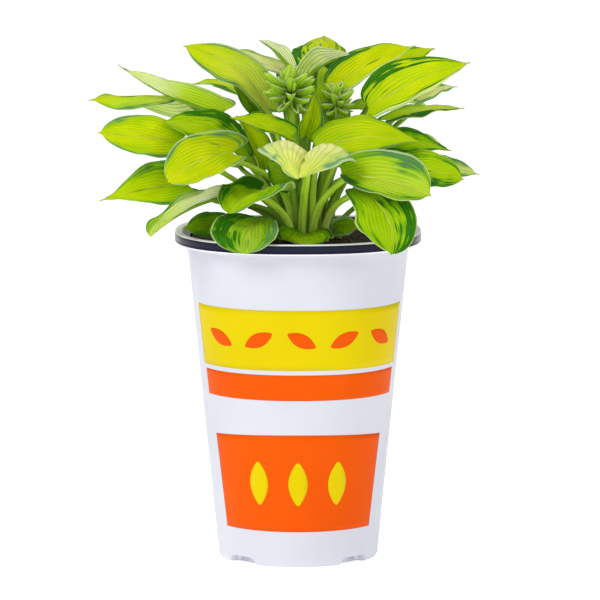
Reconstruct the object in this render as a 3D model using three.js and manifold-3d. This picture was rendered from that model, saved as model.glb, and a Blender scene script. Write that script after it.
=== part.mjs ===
// A potted hosta: a tapered grower's pot, potting soil, 43 variegated leaves on their own stalks
// and two green flower heads. Millimetres, +Z up, origin at the centre of the pot's underside,
// the plant's front toward -Y.
import * as THREE from 'three';
import { mergeVertices } from 'three/addons/utils/BufferGeometryUtils.js';
import Module from 'manifold-3d';

const wasm = await Module();
wasm.setup();

// Driving dimensions.
const POT_HEIGHT = 216.4;
const RIM_RADIUS = 81;
const RIM_FACE = 5.6;
const COLLAR_RADIUS = 75;
const COLLAR_FOOT = 198;
const WALL_TOP_RADIUS = 71.6;
const WALL_FOOT_RADIUS = 52.4;
const WALL = 1.9;
const FLOOR = 3;
const BAY_CEILING = 7.5;
const BAY_INNER = 44;
const NOTCH_HEIGHT = 5;
const NOTCH_HALF_ANGLE = 13;
const DRAIN_RADIUS = 1.9;
const DRAIN_RING = 48;
const PLAN_POWER = 2.35;
const RIM_SEGMENTS = 36;

const SOIL_EDGE = 211;
const SOIL_DOME = 2.2;
const SOIL_BUMP = 0.9;
const HOLE_DEPTH = 8;
const GAP = 0.35;

const BLADE = 0.8;
const STALK_FOOT = 2.35;
const STALK_TOP = 1.7;
const STALK_SIDES = 6;

// Where a blade's cross rows lie from its base to its tip, and its columns from margin to margin.
const ROWS = [0.014, 0.06, 0.14, 0.26, 0.42, 0.6, 0.79, 0.985];
const SMALL_ROWS = [0.02, 0.1, 0.24, 0.45, 0.7, 0.98];
const COLUMNS = [-1, -0.55, 0, 0.55, 1];
const BRACT_ROWS = [0.1, 0.5, 0.97];
const BRACT_COLUMNS = [-1, 0, 1];

const LIME = 0xb4d800;
const YELLOW = 0xc8e000;
const DEEP = 0x5a9a10;
const PALE = 0xb8d480;

// Small helpers.
const rad = (deg) => deg * Math.PI / 180;
const vec = (a) => new THREE.Vector3(a[0], a[1], a[2]);

function random(seed) {
  let state = seed >>> 0;
  return () => {
    state = (state * 1664525 + 1013904223) >>> 0;
    return state / 4294967296;
  };
}

function solid(geometry) {
  const bare = geometry.clone();
  bare.deleteAttribute('normal');
  bare.deleteAttribute('uv');
  const merged = mergeVertices(bare, 1e-4);
  const vertProperties = Float32Array.from(merged.attributes.position.array);
  const kept = [];
  const index = merged.index.array;
  for (let i = 0; i < index.length; i += 3) {
    const [a, b, c] = [index[i], index[i + 1], index[i + 2]];
    if (a !== b && b !== c && c !== a) {
      kept.push(a, b, c);
    }
  }
  return new wasm.Manifold(new wasm.Mesh({ numProp: 3, vertProperties, triVerts: Uint32Array.from(kept) }));
}

// The outer shell of a union: hollows that fusing sealed are filled and loose scraps left out.
function whole(body) {
  return body.decompose().reduce((a, b) => (a.volume() > b.volume() ? a : b));
}

function toGeometry(body) {
  const mesh = body.getMesh();
  const geometry = new THREE.BufferGeometry();
  const points = Float32Array.from(mesh.vertProperties);
  geometry.setAttribute('position', new THREE.BufferAttribute(points, 3));
  geometry.setIndex(Array.from(mesh.triVerts));
  geometry.computeVertexNormals();
  return geometry;
}

function closedMesh(points, faces) {
  const geometry = new THREE.BufferGeometry();
  const values = points.flatMap((p) => [p.x, p.y, p.z]);
  geometry.setAttribute('position', new THREE.Float32BufferAttribute(values, 3));
  geometry.setIndex(faces.flat());
  return geometry;
}

// Rings of points joined into one closed tube, with flat ends.
function ringBody(rings) {
  const sides = rings[0].length;
  const points = rings.flat();
  const faces = [];
  for (let r = 0; r + 1 < rings.length; r++) {
    for (let k = 0; k < sides; k++) {
      const a = r * sides + k;
      const b = r * sides + (k + 1) % sides;
      faces.push([a, b, b + sides], [a, b + sides, a + sides]);
    }
  }
  const last = (rings.length - 1) * sides;
  for (let k = 1; k + 1 < sides; k++) {
    faces.push([0, k + 1, k], [last, last + k, last + k + 1]);
  }
  return closedMesh(points, faces);
}

function ring(centre, along, start, radius, sides) {
  const u = start.clone().addScaledVector(along, -start.dot(along)).normalize();
  const v = new THREE.Vector3().crossVectors(along, u);
  const points = [];
  for (let k = 0; k < sides; k++) {
    const a = 2 * Math.PI * k / sides;
    const point = centre.clone().addScaledVector(u, radius * Math.cos(a));
    points.push(point.addScaledVector(v, radius * Math.sin(a)));
  }
  return points;
}

// The pot's plan is a circle with slightly squared shoulders, rounder toward the foot.
function planPoint(x, y, z) {
  const reach = Math.hypot(x, y);
  if (reach < 1e-6) {
    return [x, y];
  }
  const high = THREE.MathUtils.smoothstep(z, 0, POT_HEIGHT);
  const power = 2 + (PLAN_POWER - 2) * high;
  const c = Math.abs(x / reach);
  const s = Math.abs(y / reach);
  const grow = Math.pow(Math.pow(c, power) + Math.pow(s, power), -1 / power);
  return [x * grow, y * grow];
}

function squared(geometry) {
  const at = geometry.attributes.position;
  for (let i = 0; i < at.count; i++) {
    const [x, y] = planPoint(at.getX(i), at.getY(i), at.getZ(i));
    at.setXY(i, x, y);
  }
  return geometry;
}

function turned(profile, segments) {
  const lathe = new THREE.LatheGeometry(profile.map(([r, z]) => new THREE.Vector2(r, z)), segments);
  lathe.rotateX(Math.PI / 2);
  return squared(lathe);
}

// Pot: tapered wall, shallow collar, rolled rim, four notched drain bays at the foot.
function potBody() {
  const top = POT_HEIGHT;
  const inner = (z) => WALL_FOOT_RADIUS - WALL + (WALL_TOP_RADIUS - WALL_FOOT_RADIUS) * z / COLLAR_FOOT;
  const profile = [
    [0, 0],
    [WALL_FOOT_RADIUS - 1.6, 0],
    [WALL_FOOT_RADIUS, 1.8],
    [WALL_TOP_RADIUS - 0.4, COLLAR_FOOT - 6],
    [COLLAR_RADIUS - 0.8, COLLAR_FOOT + 4],
    [COLLAR_RADIUS, top - 10],
    [RIM_RADIUS - 1.6, top - 8],
    [RIM_RADIUS, top - RIM_FACE],
    [RIM_RADIUS, top - 1],
    [RIM_RADIUS - 1.2, top],
    [RIM_RADIUS - 5, top],
    [COLLAR_RADIUS - WALL, top - 4],
    [COLLAR_RADIUS - WALL - 0.6, COLLAR_FOOT + 2],
    [inner(COLLAR_FOOT - 6), COLLAR_FOOT - 5],
    [inner(BAY_CEILING), BAY_CEILING],
    [BAY_INNER + 0.6, BAY_CEILING],
    [BAY_INNER - 1.4, FLOOR],
    [0, FLOOR],
  ];
  let body = solid(turned(profile, RIM_SEGMENTS));
  for (const middle of [45, 135, 225, 315]) {
    body = body.subtract(solid(notchBody(middle)));
    for (const side of [-6.5, 6.5]) {
      const a = rad(middle + side);
      const hole = new THREE.CylinderGeometry(DRAIN_RADIUS, DRAIN_RADIUS, 8, 8);
      hole.rotateX(Math.PI / 2);
      hole.translate(DRAIN_RING * Math.cos(a), DRAIN_RING * Math.sin(a), 6);
      body = body.subtract(solid(hole));
    }
  }
  return toGeometry(body);
}

// A notch is a low arch with sloped ends, cut into the foot from outside.
function notchBody(middle) {
  const wide = NOTCH_HALF_ANGLE;
  const section = [
    [-wide - 1, -1],
    [-wide + 3, NOTCH_HEIGHT - 0.6],
    [-wide + 5, NOTCH_HEIGHT],
    [wide - 5, NOTCH_HEIGHT],
    [wide - 3, NOTCH_HEIGHT - 0.6],
    [wide + 1, -1],
  ];
  const place = (radius) => section.map(([angle, z]) => {
    const a = rad(middle + angle);
    return new THREE.Vector3(radius * Math.cos(a), radius * Math.sin(a), z);
  });
  return ringBody([place(60), place(BAY_INNER + 1.6)]);
}

// Soil: a low bumpy dome with one plain blind hole for each stalk.
function soilHeight(x, y) {
  const reach = Math.hypot(x, y) / 70;
  const bump = Math.sin(x * 0.31 + 1.3) * Math.cos(y * 0.27 - 0.6) + 0.6 * Math.sin(x * 0.13 - y * 0.19);
  return SOIL_EDGE + SOIL_DOME * Math.max(0, 1 - reach * reach) + SOIL_BUMP * bump * 0.6;
}

function soilBody(feet) {
  const rings = 4;
  const around = 28;
  const wallTop = COLLAR_RADIUS - WALL - 1.2;
  const points = [new THREE.Vector3(0, 0, soilHeight(0, 0))];
  for (let r = 1; r <= rings; r++) {
    for (let k = 0; k < around; k++) {
      const a = 2 * Math.PI * k / around;
      const reach = wallTop * r / rings;
      const [x, y] = planPoint(reach * Math.cos(a), reach * Math.sin(a), SOIL_EDGE);
      points.push(new THREE.Vector3(x, y, soilHeight(x, y)));
    }
  }
  const lower = [
    [wallTop - 0.8, COLLAR_FOOT + 3],
    [WALL_TOP_RADIUS - WALL - 1.6, COLLAR_FOOT - 5],
    [WALL_FOOT_RADIUS - WALL + 0.2, BAY_CEILING + GAP],
    [BAY_INNER, BAY_CEILING + GAP],
    [BAY_INNER - 2.4, FLOOR + GAP],
  ];
  for (const [reach, z] of lower) {
    for (let k = 0; k < around; k++) {
      const a = 2 * Math.PI * k / around;
      const [x, y] = planPoint(reach * Math.cos(a), reach * Math.sin(a), z);
      points.push(new THREE.Vector3(x, y, z));
    }
  }
  const bottom = points.length;
  points.push(new THREE.Vector3(0, 0, FLOOR + GAP));
  const faces = [];
  const total = rings + lower.length;
  for (let k = 0; k < around; k++) {
    const next = (k + 1) % around;
    faces.push([0, 1 + k, 1 + next]);
    for (let r = 0; r + 1 < total; r++) {
      const a = 1 + r * around;
      faces.push([a + k, a + around + k, a + around + next], [a + k, a + around + next, a + next]);
    }
    const last = 1 + (total - 1) * around;
    faces.push([last + next, last + k, bottom]);
  }
  let body = solid(closedMesh(points, faces));
  for (const foot of feet) {
    const up = new THREE.Vector3(0, 0, 1);
    const side = new THREE.Vector3(1, 0, 0);
    const wide = foot.radius + GAP / Math.cos(Math.PI / STALK_SIDES);
    const [low, high] = [foot.z - HOLE_DEPTH - GAP, foot.z + 9].map(
      (z) => ring(new THREE.Vector3(foot.x, foot.y, z), up, side, wide, STALK_SIDES),
    );
    body = body.subtract(solid(ringBody([low, high])));
  }
  return toGeometry(body);
}

// Blade: s runs from the stalk (0) to the tip (1), t across from one margin (-1) to the other (1).
// full sets how blunt the blade is: the smaller, the fuller toward the tip.
function outline(s, full) {
  const peak = 0.5 / (0.5 + full);
  return Math.sqrt(s / peak) * Math.pow((1 - s) / (1 - peak), full);
}

const lobeShift = (s) => (s / 0.07) * Math.exp(1 - s / 0.07);

function bladeFrame(leaf) {
  const base = vec(leaf.base);
  const chord = vec(leaf.tip).sub(base);
  const length = chord.length();
  const along = chord.divideScalar(length);
  const normal = vec(leaf.face).addScaledVector(along, -vec(leaf.face).dot(along)).normalize();
  const side = new THREE.Vector3().crossVectors(normal, along);
  return { base, length, along, normal, side };
}

// The midrib bows by rise out of the leaf's plane and by bend sideways, as shares of its length.
function midrib(leaf, frame, u) {
  const bow = 4 * u * (1 - u);
  return frame.base.clone()
    .addScaledVector(frame.along, frame.length * u)
    .addScaledVector(frame.normal, frame.length * leaf.rise * bow)
    .addScaledVector(frame.side, frame.length * leaf.bend * bow);
}

function bladePoint(leaf, frame, s, t) {
  const reach = Math.abs(t);
  const u = s - leaf.lobe * Math.pow(reach, 1.6) * lobeShift(s);
  const slope = 4 * (1 - 2 * u);
  const tangent = frame.along.clone()
    .addScaledVector(frame.normal, leaf.rise * slope)
    .addScaledVector(frame.side, leaf.bend * slope)
    .normalize();
  let side = frame.side.clone().addScaledVector(tangent, -frame.side.dot(tangent)).normalize();
  side.applyAxisAngle(tangent, rad(leaf.twist) * (s - 0.3));
  const normal = new THREE.Vector3().crossVectors(tangent, side);
  const half = 0.5 * leaf.width * (1 + Math.sign(t) * leaf.lean);
  const wide = half * outline(s, leaf.full) * reach;
  const lift = rad(leaf.fold + Math.sign(t) * leaf.skew + leaf.curl * reach * 0.5);
  const phase = 2 * Math.PI * (leaf.waves * s + 0.3 * Math.sign(t)) + leaf.base[0];
  const wave = leaf.wave * reach * reach * Math.sin(phase);
  return midrib(leaf, frame, u)
    .addScaledVector(side, Math.sign(t) * wide * Math.cos(lift))
    .addScaledVector(normal, wide * Math.sin(lift) + wave);
}

function bladeNormal(leaf, frame, s, t) {
  const at = (u, v) => bladePoint(leaf, frame, u, v);
  const ds = at(Math.min(s + 0.01, 0.99), t).sub(at(Math.max(s - 0.01, 0.004), t));
  const dt = at(s, Math.min(t + 0.05, 1)).sub(at(s, Math.max(t - 0.05, -1)));
  return ds.cross(dt).normalize();
}

// A sheet of even thickness: the points at the rows and columns, lifted to both sides and closed at the margin.
function sheetBody(leaf, frame, rows, across) {
  const upper = [];
  const lower = [];
  for (const s of rows) {
    for (const t of across) {
      const point = bladePoint(leaf, frame, s, t);
      const normal = bladeNormal(leaf, frame, s, t);
      upper.push(point.clone().addScaledVector(normal, BLADE / 2));
      lower.push(point.clone().addScaledVector(normal, -BLADE / 2));
    }
  }
  const n = across.length;
  const m = rows.length;
  const size = n * m;
  const faces = [];
  for (let i = 0; i + 1 < m; i++) {
    for (let j = 0; j + 1 < n; j++) {
      const a = i * n + j;
      faces.push([a, a + n, a + n + 1], [a, a + n + 1, a + 1]);
      faces.push([size + a, size + a + n + 1, size + a + n], [size + a, size + a + 1, size + a + n + 1]);
    }
  }
  const border = [];
  for (let j = 0; j + 1 < n; j++) border.push(j);
  for (let i = 0; i + 1 < m; i++) border.push(i * n + n - 1);
  for (let j = n - 1; j > 0; j--) border.push((m - 1) * n + j);
  for (let i = m - 1; i > 0; i--) border.push(i * n);
  for (let k = 0; k < border.length; k++) {
    const a = border[k];
    const b = border[(k + 1) % border.length];
    faces.push([a, b, size + b], [a, size + b, size + a]);
  }
  return closedMesh([...upper, ...lower], faces);
}

// Stalk: upright in its hole, then one smooth curve to the blade, tapering all the way.
function stalkBody(leaf, frame, steps) {
  const foot = leaf.foot;
  const up = new THREE.Vector3(0, 0, 1);
  const level = new THREE.Vector3(foot.x, foot.y, foot.z + 3);
  const joint = bladePoint(leaf, frame, 0.07, 0);
  const distance = joint.distanceTo(level);
  const straight = frame.along.clone().addScaledVector(frame.normal, leaf.rise * 4).normalize();
  const arrive = (leaf.arrive ? vec(leaf.arrive) : straight.lerp(up, leaf.upright)).normalize();
  const normal = bladeNormal(leaf, frame, 0.07, 0);
  const under = normal.clone().addScaledVector(arrive, -normal.dot(arrive));
  joint.addScaledVector(under, 0.25 - leaf.stalkTop);
  const curve = new THREE.CubicBezierCurve3(
    level,
    level.clone().addScaledVector(up, distance * leaf.rising),
    joint.clone().addScaledVector(arrive, -distance * leaf.neck),
    joint,
  );
  let side = new THREE.Vector3(1, 0, 0);
  const rings = [
    ring(new THREE.Vector3(foot.x, foot.y, foot.z - HOLE_DEPTH), up, side, foot.radius, STALK_SIDES),
    ring(level, up, side, foot.radius, STALK_SIDES),
  ];
  for (let k = 1; k <= steps; k++) {
    const f = k / steps;
    const along = curve.getTangent(f);
    side = side.clone().addScaledVector(along, -side.dot(along)).normalize();
    const radius = foot.radius + (leaf.stalkTop - foot.radius) * f;
    rings.push(ring(curve.getPoint(f), along, side, radius, STALK_SIDES));
  }
  return ringBody(rings);
}

function leafBody(leaf) {
  const frame = bladeFrame(leaf);
  const rows = leaf.small ? SMALL_ROWS : ROWS;
  const blade = solid(sheetBody(leaf, frame, rows, COLUMNS));
  const stalk = solid(stalkBody(leaf, frame, leaf.small ? 3 : 4));
  return toGeometry(whole(blade.add(stalk)));
}

// Flower heads: a stem with whorls of pointed bracts round a pointed bud.
const BRACT = {
  rise: 0.1, bend: 0, lobe: 0, twist: 0, fold: 24, skew: 0, curl: 10, wave: 0, waves: 1, full: 0.8, lean: 0,
};

// A bract starts a little behind the stem's axis, so that its foot is sunk in the stem.
function bractBody(centre, azimuth, climb, length, width) {
  const up = new THREE.Vector3(0, 0, 1);
  const out = new THREE.Vector3(Math.cos(azimuth), Math.sin(azimuth), 0);
  const along = out.clone().multiplyScalar(Math.cos(climb)).addScaledVector(up, Math.sin(climb));
  const face = out.clone().multiplyScalar(-Math.sin(climb)).addScaledVector(up, Math.cos(climb));
  const base = centre.clone().addScaledVector(out, -0.1 * length);
  const tip = base.clone().addScaledVector(along, length);
  const bract = { ...BRACT, base: base.toArray(), tip: tip.toArray(), face: face.toArray(), width };
  return sheetBody(bract, bladeFrame(bract), BRACT_ROWS, BRACT_COLUMNS);
}

// The bud's girth from its foot to its point, as shares of the stem's radius.
const BUD_FORM = [[0, 0.9], [0.18, 1.25], [0.45, 1.2], [0.75, 0.75], [1, 0.15]];

function headBody(head) {
  const draw = random(head.seed);
  const centre = vec(head.centre);
  const foot = head.foot;
  const up = new THREE.Vector3(0, 0, 1);
  const side = new THREE.Vector3(1, 0, 0);
  const level = new THREE.Vector3(foot.x, foot.y, foot.z + 3);
  const curve = new THREE.CubicBezierCurve3(
    level,
    level.clone().addScaledVector(up, (centre.z - level.z) * 0.4),
    centre.clone().addScaledVector(up, (level.z - centre.z) * 0.3),
    centre,
  );
  const bottom = new THREE.Vector3(foot.x, foot.y, foot.z - HOLE_DEPTH);
  const rings = [ring(bottom, up, side, foot.radius, STALK_SIDES)];
  for (let k = 0; k <= 5; k++) {
    const radius = foot.radius + (head.core - foot.radius) * k / 5;
    rings.push(ring(curve.getPoint(k / 5), curve.getTangent(k / 5), side, radius, STALK_SIDES));
  }
  let body = solid(ringBody(rings));
  const bud = BUD_FORM.map(([f, girth]) => {
    const at = centre.clone().addScaledVector(up, f * head.bud - 1);
    return ring(at, up, side, head.core * girth, STALK_SIDES);
  });
  body = body.add(solid(ringBody(bud)));
  for (const whorl of head.whorls) {
    for (let k = 0; k < whorl.count; k++) {
      const azimuth = rad(whorl.turn + 360 * k / whorl.count + 14 * (draw() - 0.5));
      const climb = rad(whorl.climb + 12 * (draw() - 0.5));
      const length = whorl.length * (0.88 + 0.24 * draw());
      const level = centre.clone().addScaledVector(up, whorl.z);
      body = body.add(solid(bractBody(level, azimuth, climb, length, whorl.width)));
    }
  }
  return toGeometry(whole(body));
}

// The leaves. root: foot of the stalk on the soil; base and tip: the blade's two ends; face: the way its upper
// side looks. rise and bend are shares of the length, lean of the half width, angles are degrees, the rest
// millimetres.
const USUAL = {
  width: 36, rise: 0.08, bend: 0, fold: 12, skew: 0, curl: -6, twist: 0, wave: 0.8, waves: 2, full: 1.05,
  lean: 0, lobe: 0.14, neck: 0.22, rising: 0.42, upright: 0.4, arrive: null, small: false, thick: 1,
  stalkTop: STALK_TOP, colour: LIME,
};

function leaf(name, root, base, tip, face, rest) {
  return { ...USUAL, name, root, base, tip, face, ...rest };
}

const LEAVES = [
  // the front left, from the cupped leaf that faces the viewer down to the ones on the rim
  leaf('leaf_01', [-4, -21.5], [-35, -47, 274], [-86, -74, 260], [-0.3, -1, 0.4],
    { width: 38, rise: 0.1, curl: 8, fold: 10, bend: -0.05, full: 0.5, rising: 0.6, neck: 0.3,
      colour: YELLOW }),
  leaf('leaf_02', [-10, -10.5], [-32, -20, 266], [-88, -34, 291], [-0.1, -0.7, 1],
    { width: 42, rise: 0.12, full: 0.8 }),
  leaf('leaf_03', [-7, -16], [-77, -50, 281], [-129, -62, 289], [0, -0.9, 0.6],
    { width: 31, rise: 0.01, rising: 0.22, neck: 0.25, full: 0.9 }),
  leaf('leaf_04', [-13.5, -16], [-72, -30, 250], [-128, -56, 243], [0, -0.8, 0.6],
    { width: 34, rise: 0.05, full: 1.4, rising: 0.3 }),
  leaf('leaf_05', [-10.5, -21.5], [-55, -47, 242.5], [-95, -74, 221], [-0.55, -0.15, 0.8],
    { width: 30, fold: 50, rise: 0.06, full: 0.6 }),
  leaf('leaf_06', [-17, -21.5], [-42, -24, 223.5], [-74, -34, 223], [0, -0.8, 0.6],
    { width: 20, full: 0.6, small: true, colour: DEEP }),
  leaf('leaf_07', [-14, -27.5], [-50, -67, 222], [-11, -60, 229], [0, -0.6, 0.8],
    { width: 40, full: 0.8, fold: 10, lobe: 0.16, arrive: [-1, -0.8, 0.1], neck: 0.4, colour: DEEP }),
  leaf('leaf_08', [-4.5, -33], [-23, -46, 250], [-50, -66, 239], [-0.05, -0.4, 0.83],
    { width: 56, fold: 18, skew: 5, lean: 0.25, lobe: 0.36, full: 0.8, rise: 0.12, thick: 1.2, stalkTop: 2 }),
  leaf('leaf_09', [2.5, -33], [7, -60, 272], [-1, -98, 265], [0, -0.5, 1],
    { width: 58, fold: 60, curl: -100, lobe: 0.3, rise: 0.1, upright: 0.7, thick: 1.2, stalkTop: 2.2,
      colour: YELLOW }),
  // the front right
  leaf('leaf_10', [9.5, -20.5], [12, -26, 273], [77, -38, 279], [0, -0.7, 0.8],
    { width: 38, rise: 0.1, lobe: 0.1, colour: YELLOW }),
  leaf('leaf_11', [20.5, -15.5], [50, -12, 276], [100, -18, 271], [0, -0.6, 0.8],
    { width: 25, rise: 0.05, colour: DEEP }),
  leaf('leaf_12', [9.5, -33], [26, -58, 257], [88, -84, 257], [0.1, -0.9, 0.6],
    { width: 33, full: 0.38, thick: 1.2, stalkTop: 2.2 }),
  leaf('leaf_13', [17, -21.5], [64, -30, 260], [108, -42, 255], [0.2, -0.8, 0.5],
    { width: 28, full: 0.6 }),
  leaf('leaf_14', [26, -3.5], [85, 6, 258], [118, 8, 252], [0.2, -0.8, 0.6],
    { width: 17, small: true, rising: 0.25 }),
  leaf('leaf_15', [17.5, -28.5], [35, -62, 251], [61, -98, 214], [0.3, -0.9, 0.5],
    { width: 38, fold: 10, rise: 0.1, bend: 0.16, full: 0.55, lobe: 0.06, stalkTop: 2.1 }),
  leaf('leaf_16', [26.5, -18], [24.5, -25, 219.5], [41, -26, 222.5], [0, -0.9, 0.5],
    { width: 16, fold: 25, small: true, colour: DEEP }),
  leaf('leaf_17', [6.5, -40], [6.5, -42, 217], [6.5, -66, 215], [0, 0, 1],
    { width: 34, fold: 30, skew: -14, curl: -30, lobe: 0.3, full: 0.7, small: true, colour: DEEP }),
  // the upper left and the top
  leaf('leaf_18', [-3.5, -9.5], [-19, 0, 296], [-77, -20, 339], [-0.5, -0.7, 0.6],
    { width: 23, fold: 16, rise: 0.05, bend: -0.1, lean: -0.3, colour: YELLOW }),
  leaf('leaf_19', [-4.5, -3], [-10, 14, 320], [-54, 8, 335], [0, -0.6, 1],
    { width: 17, rise: 0, upright: 0.7 }),
  leaf('leaf_20', [-16.5, -3], [-41, -8, 298], [-118, 0, 327], [0.2, 0.2, 1],
    { width: 30, fold: 50, rise: -0.1, colour: PALE }),
  leaf('leaf_21', [-16, 3.5], [-70, 16, 294], [-137, 8, 301], [0, 0.4, 1],
    { width: 32, twist: -95, rise: 0.02 }),
  leaf('leaf_22', [3, -22], [0, -32, 284], [-43, -44, 298], [0, -0.6, 1],
    { width: 24, fold: 24, rise: 0.02 }),
  leaf('leaf_23', [4, 7], [12, 30, 325], [18, 70, 337], [0, -0.5, 1],
    { width: 42, fold: -18, full: 0.8 }),
  leaf('leaf_24', [3, 0.5], [4, 10, 318], [33, 18, 332], [0, 0.7, 1],
    { width: 30, fold: 30, small: true, upright: 0.7, colour: PALE }),
  leaf('leaf_25', [1.5, -5.5], [-5, 6, 323], [-25, 12, 340], [0.2, 0.8, 0.7],
    { width: 14, fold: 30, small: true, colour: PALE }),
  leaf('leaf_26', [7.5, -5.5], [22, 14, 308], [76, 22, 335], [-0.2, -0.8, 0.8],
    { width: 28, fold: 14, lobe: 0.08, colour: YELLOW }),
  leaf('leaf_27', [12.5, -10.5], [46, -14, 298], [111, -20, 328], [-0.1, -0.8, 0.7],
    { width: 38, fold: 14, lobe: 0.06, colour: YELLOW }),
  // the upper right
  leaf('leaf_28', [16.5, 5.5], [62, 34, 319], [90, 44, 331], [0, -0.6, 0.9],
    { width: 18, small: true }),
  leaf('leaf_29', [20, -1], [79, 32, 298], [105, 44, 306], [0, -0.4, 0.9],
    { width: 14, small: true, colour: PALE }),
  leaf('leaf_30', [19, -8], [58, 12, 287], [109, 22, 294], [0, -0.2, 1],
    { width: 24, fold: 10, rise: 0.04, colour: DEEP }),
  leaf('leaf_31', [10, 4.5], [26, 14, 286], [37, 14, 302], [0, -1, 0.3],
    { width: 14, small: true, colour: PALE }),
  leaf('leaf_32', [-10.5, -4], [-18, 2, 253], [-33, 12, 285], [0.6, -0.6, 0.3],
    { width: 16, fold: 50 }),
  leaf('leaf_33', [-1, -27.5], [0, -30, 249], [-13, -28, 259], [0, -1, 0.3],
    { width: 16, small: true, colour: DEEP }),
  leaf('leaf_34', [5.5, -12.5], [5, -12, 280], [6, -13, 300], [0.2, -1, 0.1],
    { width: 12, fold: 40, small: true }),
  leaf('leaf_35', [-10, 2.5], [-28, 14, 293], [-43, 10, 312], [0, -1, 0.4],
    { width: 14, fold: 40, small: true, colour: DEEP }),
  // the far side of the clump
  leaf('leaf_36', [-8, 13.5], [-36, 54, 252], [-68, 92, 240], [-0.2, 0.4, 1], {}),
  leaf('leaf_37', [4, 20], [36, 58, 250], [68, 96, 238], [0.2, 0.4, 1], {}),
  leaf('leaf_38', [-1, 15], [-6, 52, 282], [-8, 104, 272], [0, 0.2, 1], { width: 34 }),
  leaf('leaf_39', [-13, 9], [-45, 34, 280], [-94, 62, 272], [-0.2, 0.2, 1], {}),
  leaf('leaf_40', [19, 11.5], [52, 40, 272], [98, 70, 262], [0.2, 0.2, 1], { width: 30 }),
  leaf('leaf_41', [-3.5, 8], [-26, 50, 296], [-56, 92, 302], [-0.2, 0.1, 1], { width: 34 }),
  leaf('leaf_42', [5.5, 13.5], [20, 56, 304], [32, 100, 306], [0.1, 0.1, 1], { width: 34 }),
  leaf('leaf_43', [12, 11], [42, 52, 290], [86, 90, 288], [0.2, 0.2, 1], { width: 32 }),
];

// Foot of a stalk: on the soil at the root, a little thinner for a small leaf.
function footOf(piece) {
  const [x, y] = piece.root;
  const radius = piece.small ? STALK_FOOT - 0.4 : STALK_FOOT * piece.thick;
  return { x, y, z: soilHeight(x, y), radius };
}

const HEADS = [
  {
    name: 'flower_head_main', centre: [-5, -22, 309], root: [-0.5, -15.5],
    core: 3.2, bud: 17, seed: 11, thick: 1,
    whorls: [
      { count: 6, turn: 10, climb: 14, length: 23, width: 14, z: -1 },
      { count: 5, turn: 35, climb: 38, length: 21, width: 12, z: 3 },
      { count: 3, turn: 5, climb: 62, length: 17, width: 9, z: 6 },
    ],
  },
  {
    name: 'flower_head_side', centre: [25, -5, 301], root: [13.5, -4],
    core: 2.6, bud: 13, seed: 5, thick: 1,
    whorls: [
      { count: 5, turn: 20, climb: 18, length: 16, width: 10, z: 0 },
      { count: 3, turn: 50, climb: 50, length: 12, width: 7, z: 3 },
    ],
  },
];
for (const piece of [...LEAVES, ...HEADS]) piece.foot = footOf(piece);

// The scene graph.
function named(name, geometry, color, roughness) {
  const mesh = new THREE.Mesh(geometry, new THREE.MeshStandardMaterial({ color, roughness, metalness: 0 }));
  mesh.name = name;
  return mesh;
}

const plant = new THREE.Group();
plant.add(named('pot', potBody(), 0xe4e6ec, 0.45));
plant.add(named('soil', soilBody([...LEAVES, ...HEADS].map((piece) => piece.foot)), 0x2a1c1e, 0.95));
for (const head of HEADS) {
  plant.add(named(head.name, headBody(head), 0x6fae28, 0.5));
}
for (const piece of LEAVES) {
  plant.add(named(piece.name, leafBody(piece), piece.colour, 0.5));
}

export default plant;
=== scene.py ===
"""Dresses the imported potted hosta: pot, potting mix, 43 variegated leaves and two flower heads.

Sizes in the tables are millimetres in the part's own frame: +Z up, origin under the pot, front toward -Y.
"""

import math
import random
from types import SimpleNamespace

import bpy
import numpy as np
from bpy.props import FloatProperty, FloatVectorProperty, IntProperty, PointerProperty
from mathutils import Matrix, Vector, noise


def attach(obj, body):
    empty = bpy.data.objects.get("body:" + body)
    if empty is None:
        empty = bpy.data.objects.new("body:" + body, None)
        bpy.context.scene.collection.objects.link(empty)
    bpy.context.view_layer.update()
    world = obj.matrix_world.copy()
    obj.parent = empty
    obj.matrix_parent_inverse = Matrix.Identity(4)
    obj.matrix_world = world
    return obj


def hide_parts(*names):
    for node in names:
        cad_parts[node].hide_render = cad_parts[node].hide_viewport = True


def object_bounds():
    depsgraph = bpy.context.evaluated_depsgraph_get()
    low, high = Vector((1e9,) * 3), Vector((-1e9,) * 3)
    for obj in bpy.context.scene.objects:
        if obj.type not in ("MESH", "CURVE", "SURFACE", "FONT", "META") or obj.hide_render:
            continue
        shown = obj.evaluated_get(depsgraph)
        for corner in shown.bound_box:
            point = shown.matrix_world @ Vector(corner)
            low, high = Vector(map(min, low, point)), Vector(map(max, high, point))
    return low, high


bl_info = {
    "name": "Potted hosta",
    "version": (1, 0, 0),
    "blender": (4, 5, 0),
    "location": "3D View > Sidebar > Hosta",
    "description": "Builds a variegated hosta in its grower's pot round the packed model",
    "category": "Object",
}

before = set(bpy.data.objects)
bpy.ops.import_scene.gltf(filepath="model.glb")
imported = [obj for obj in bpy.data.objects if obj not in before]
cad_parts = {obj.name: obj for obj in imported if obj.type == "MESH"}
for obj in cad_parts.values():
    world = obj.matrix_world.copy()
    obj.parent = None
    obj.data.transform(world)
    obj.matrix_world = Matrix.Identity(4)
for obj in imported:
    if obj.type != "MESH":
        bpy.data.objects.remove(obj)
CAD_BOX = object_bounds()

MM = 0.001
POT_TOP = 216.4

# Side and focal length of the photo in pixels, and the point that the camera looks at in metres.
PHOTO_SIDE = 600
PHOTO_FOCUS = 6133.0
LOOK_AT = (1.3 * MM, 0, 169.5 * MM)


def srgb(red, green, blue):
    """A colour as it looks on screen, in steps of 255, as the linear values that shaders take."""
    values = []
    for step in (red, green, blue):
        share = step / 255
        values.append(share / 12.92 if share <= 0.04045 else ((share + 0.055) / 1.055) ** 2.4)
    return tuple(values)


# Properties: what a user would change.

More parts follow.
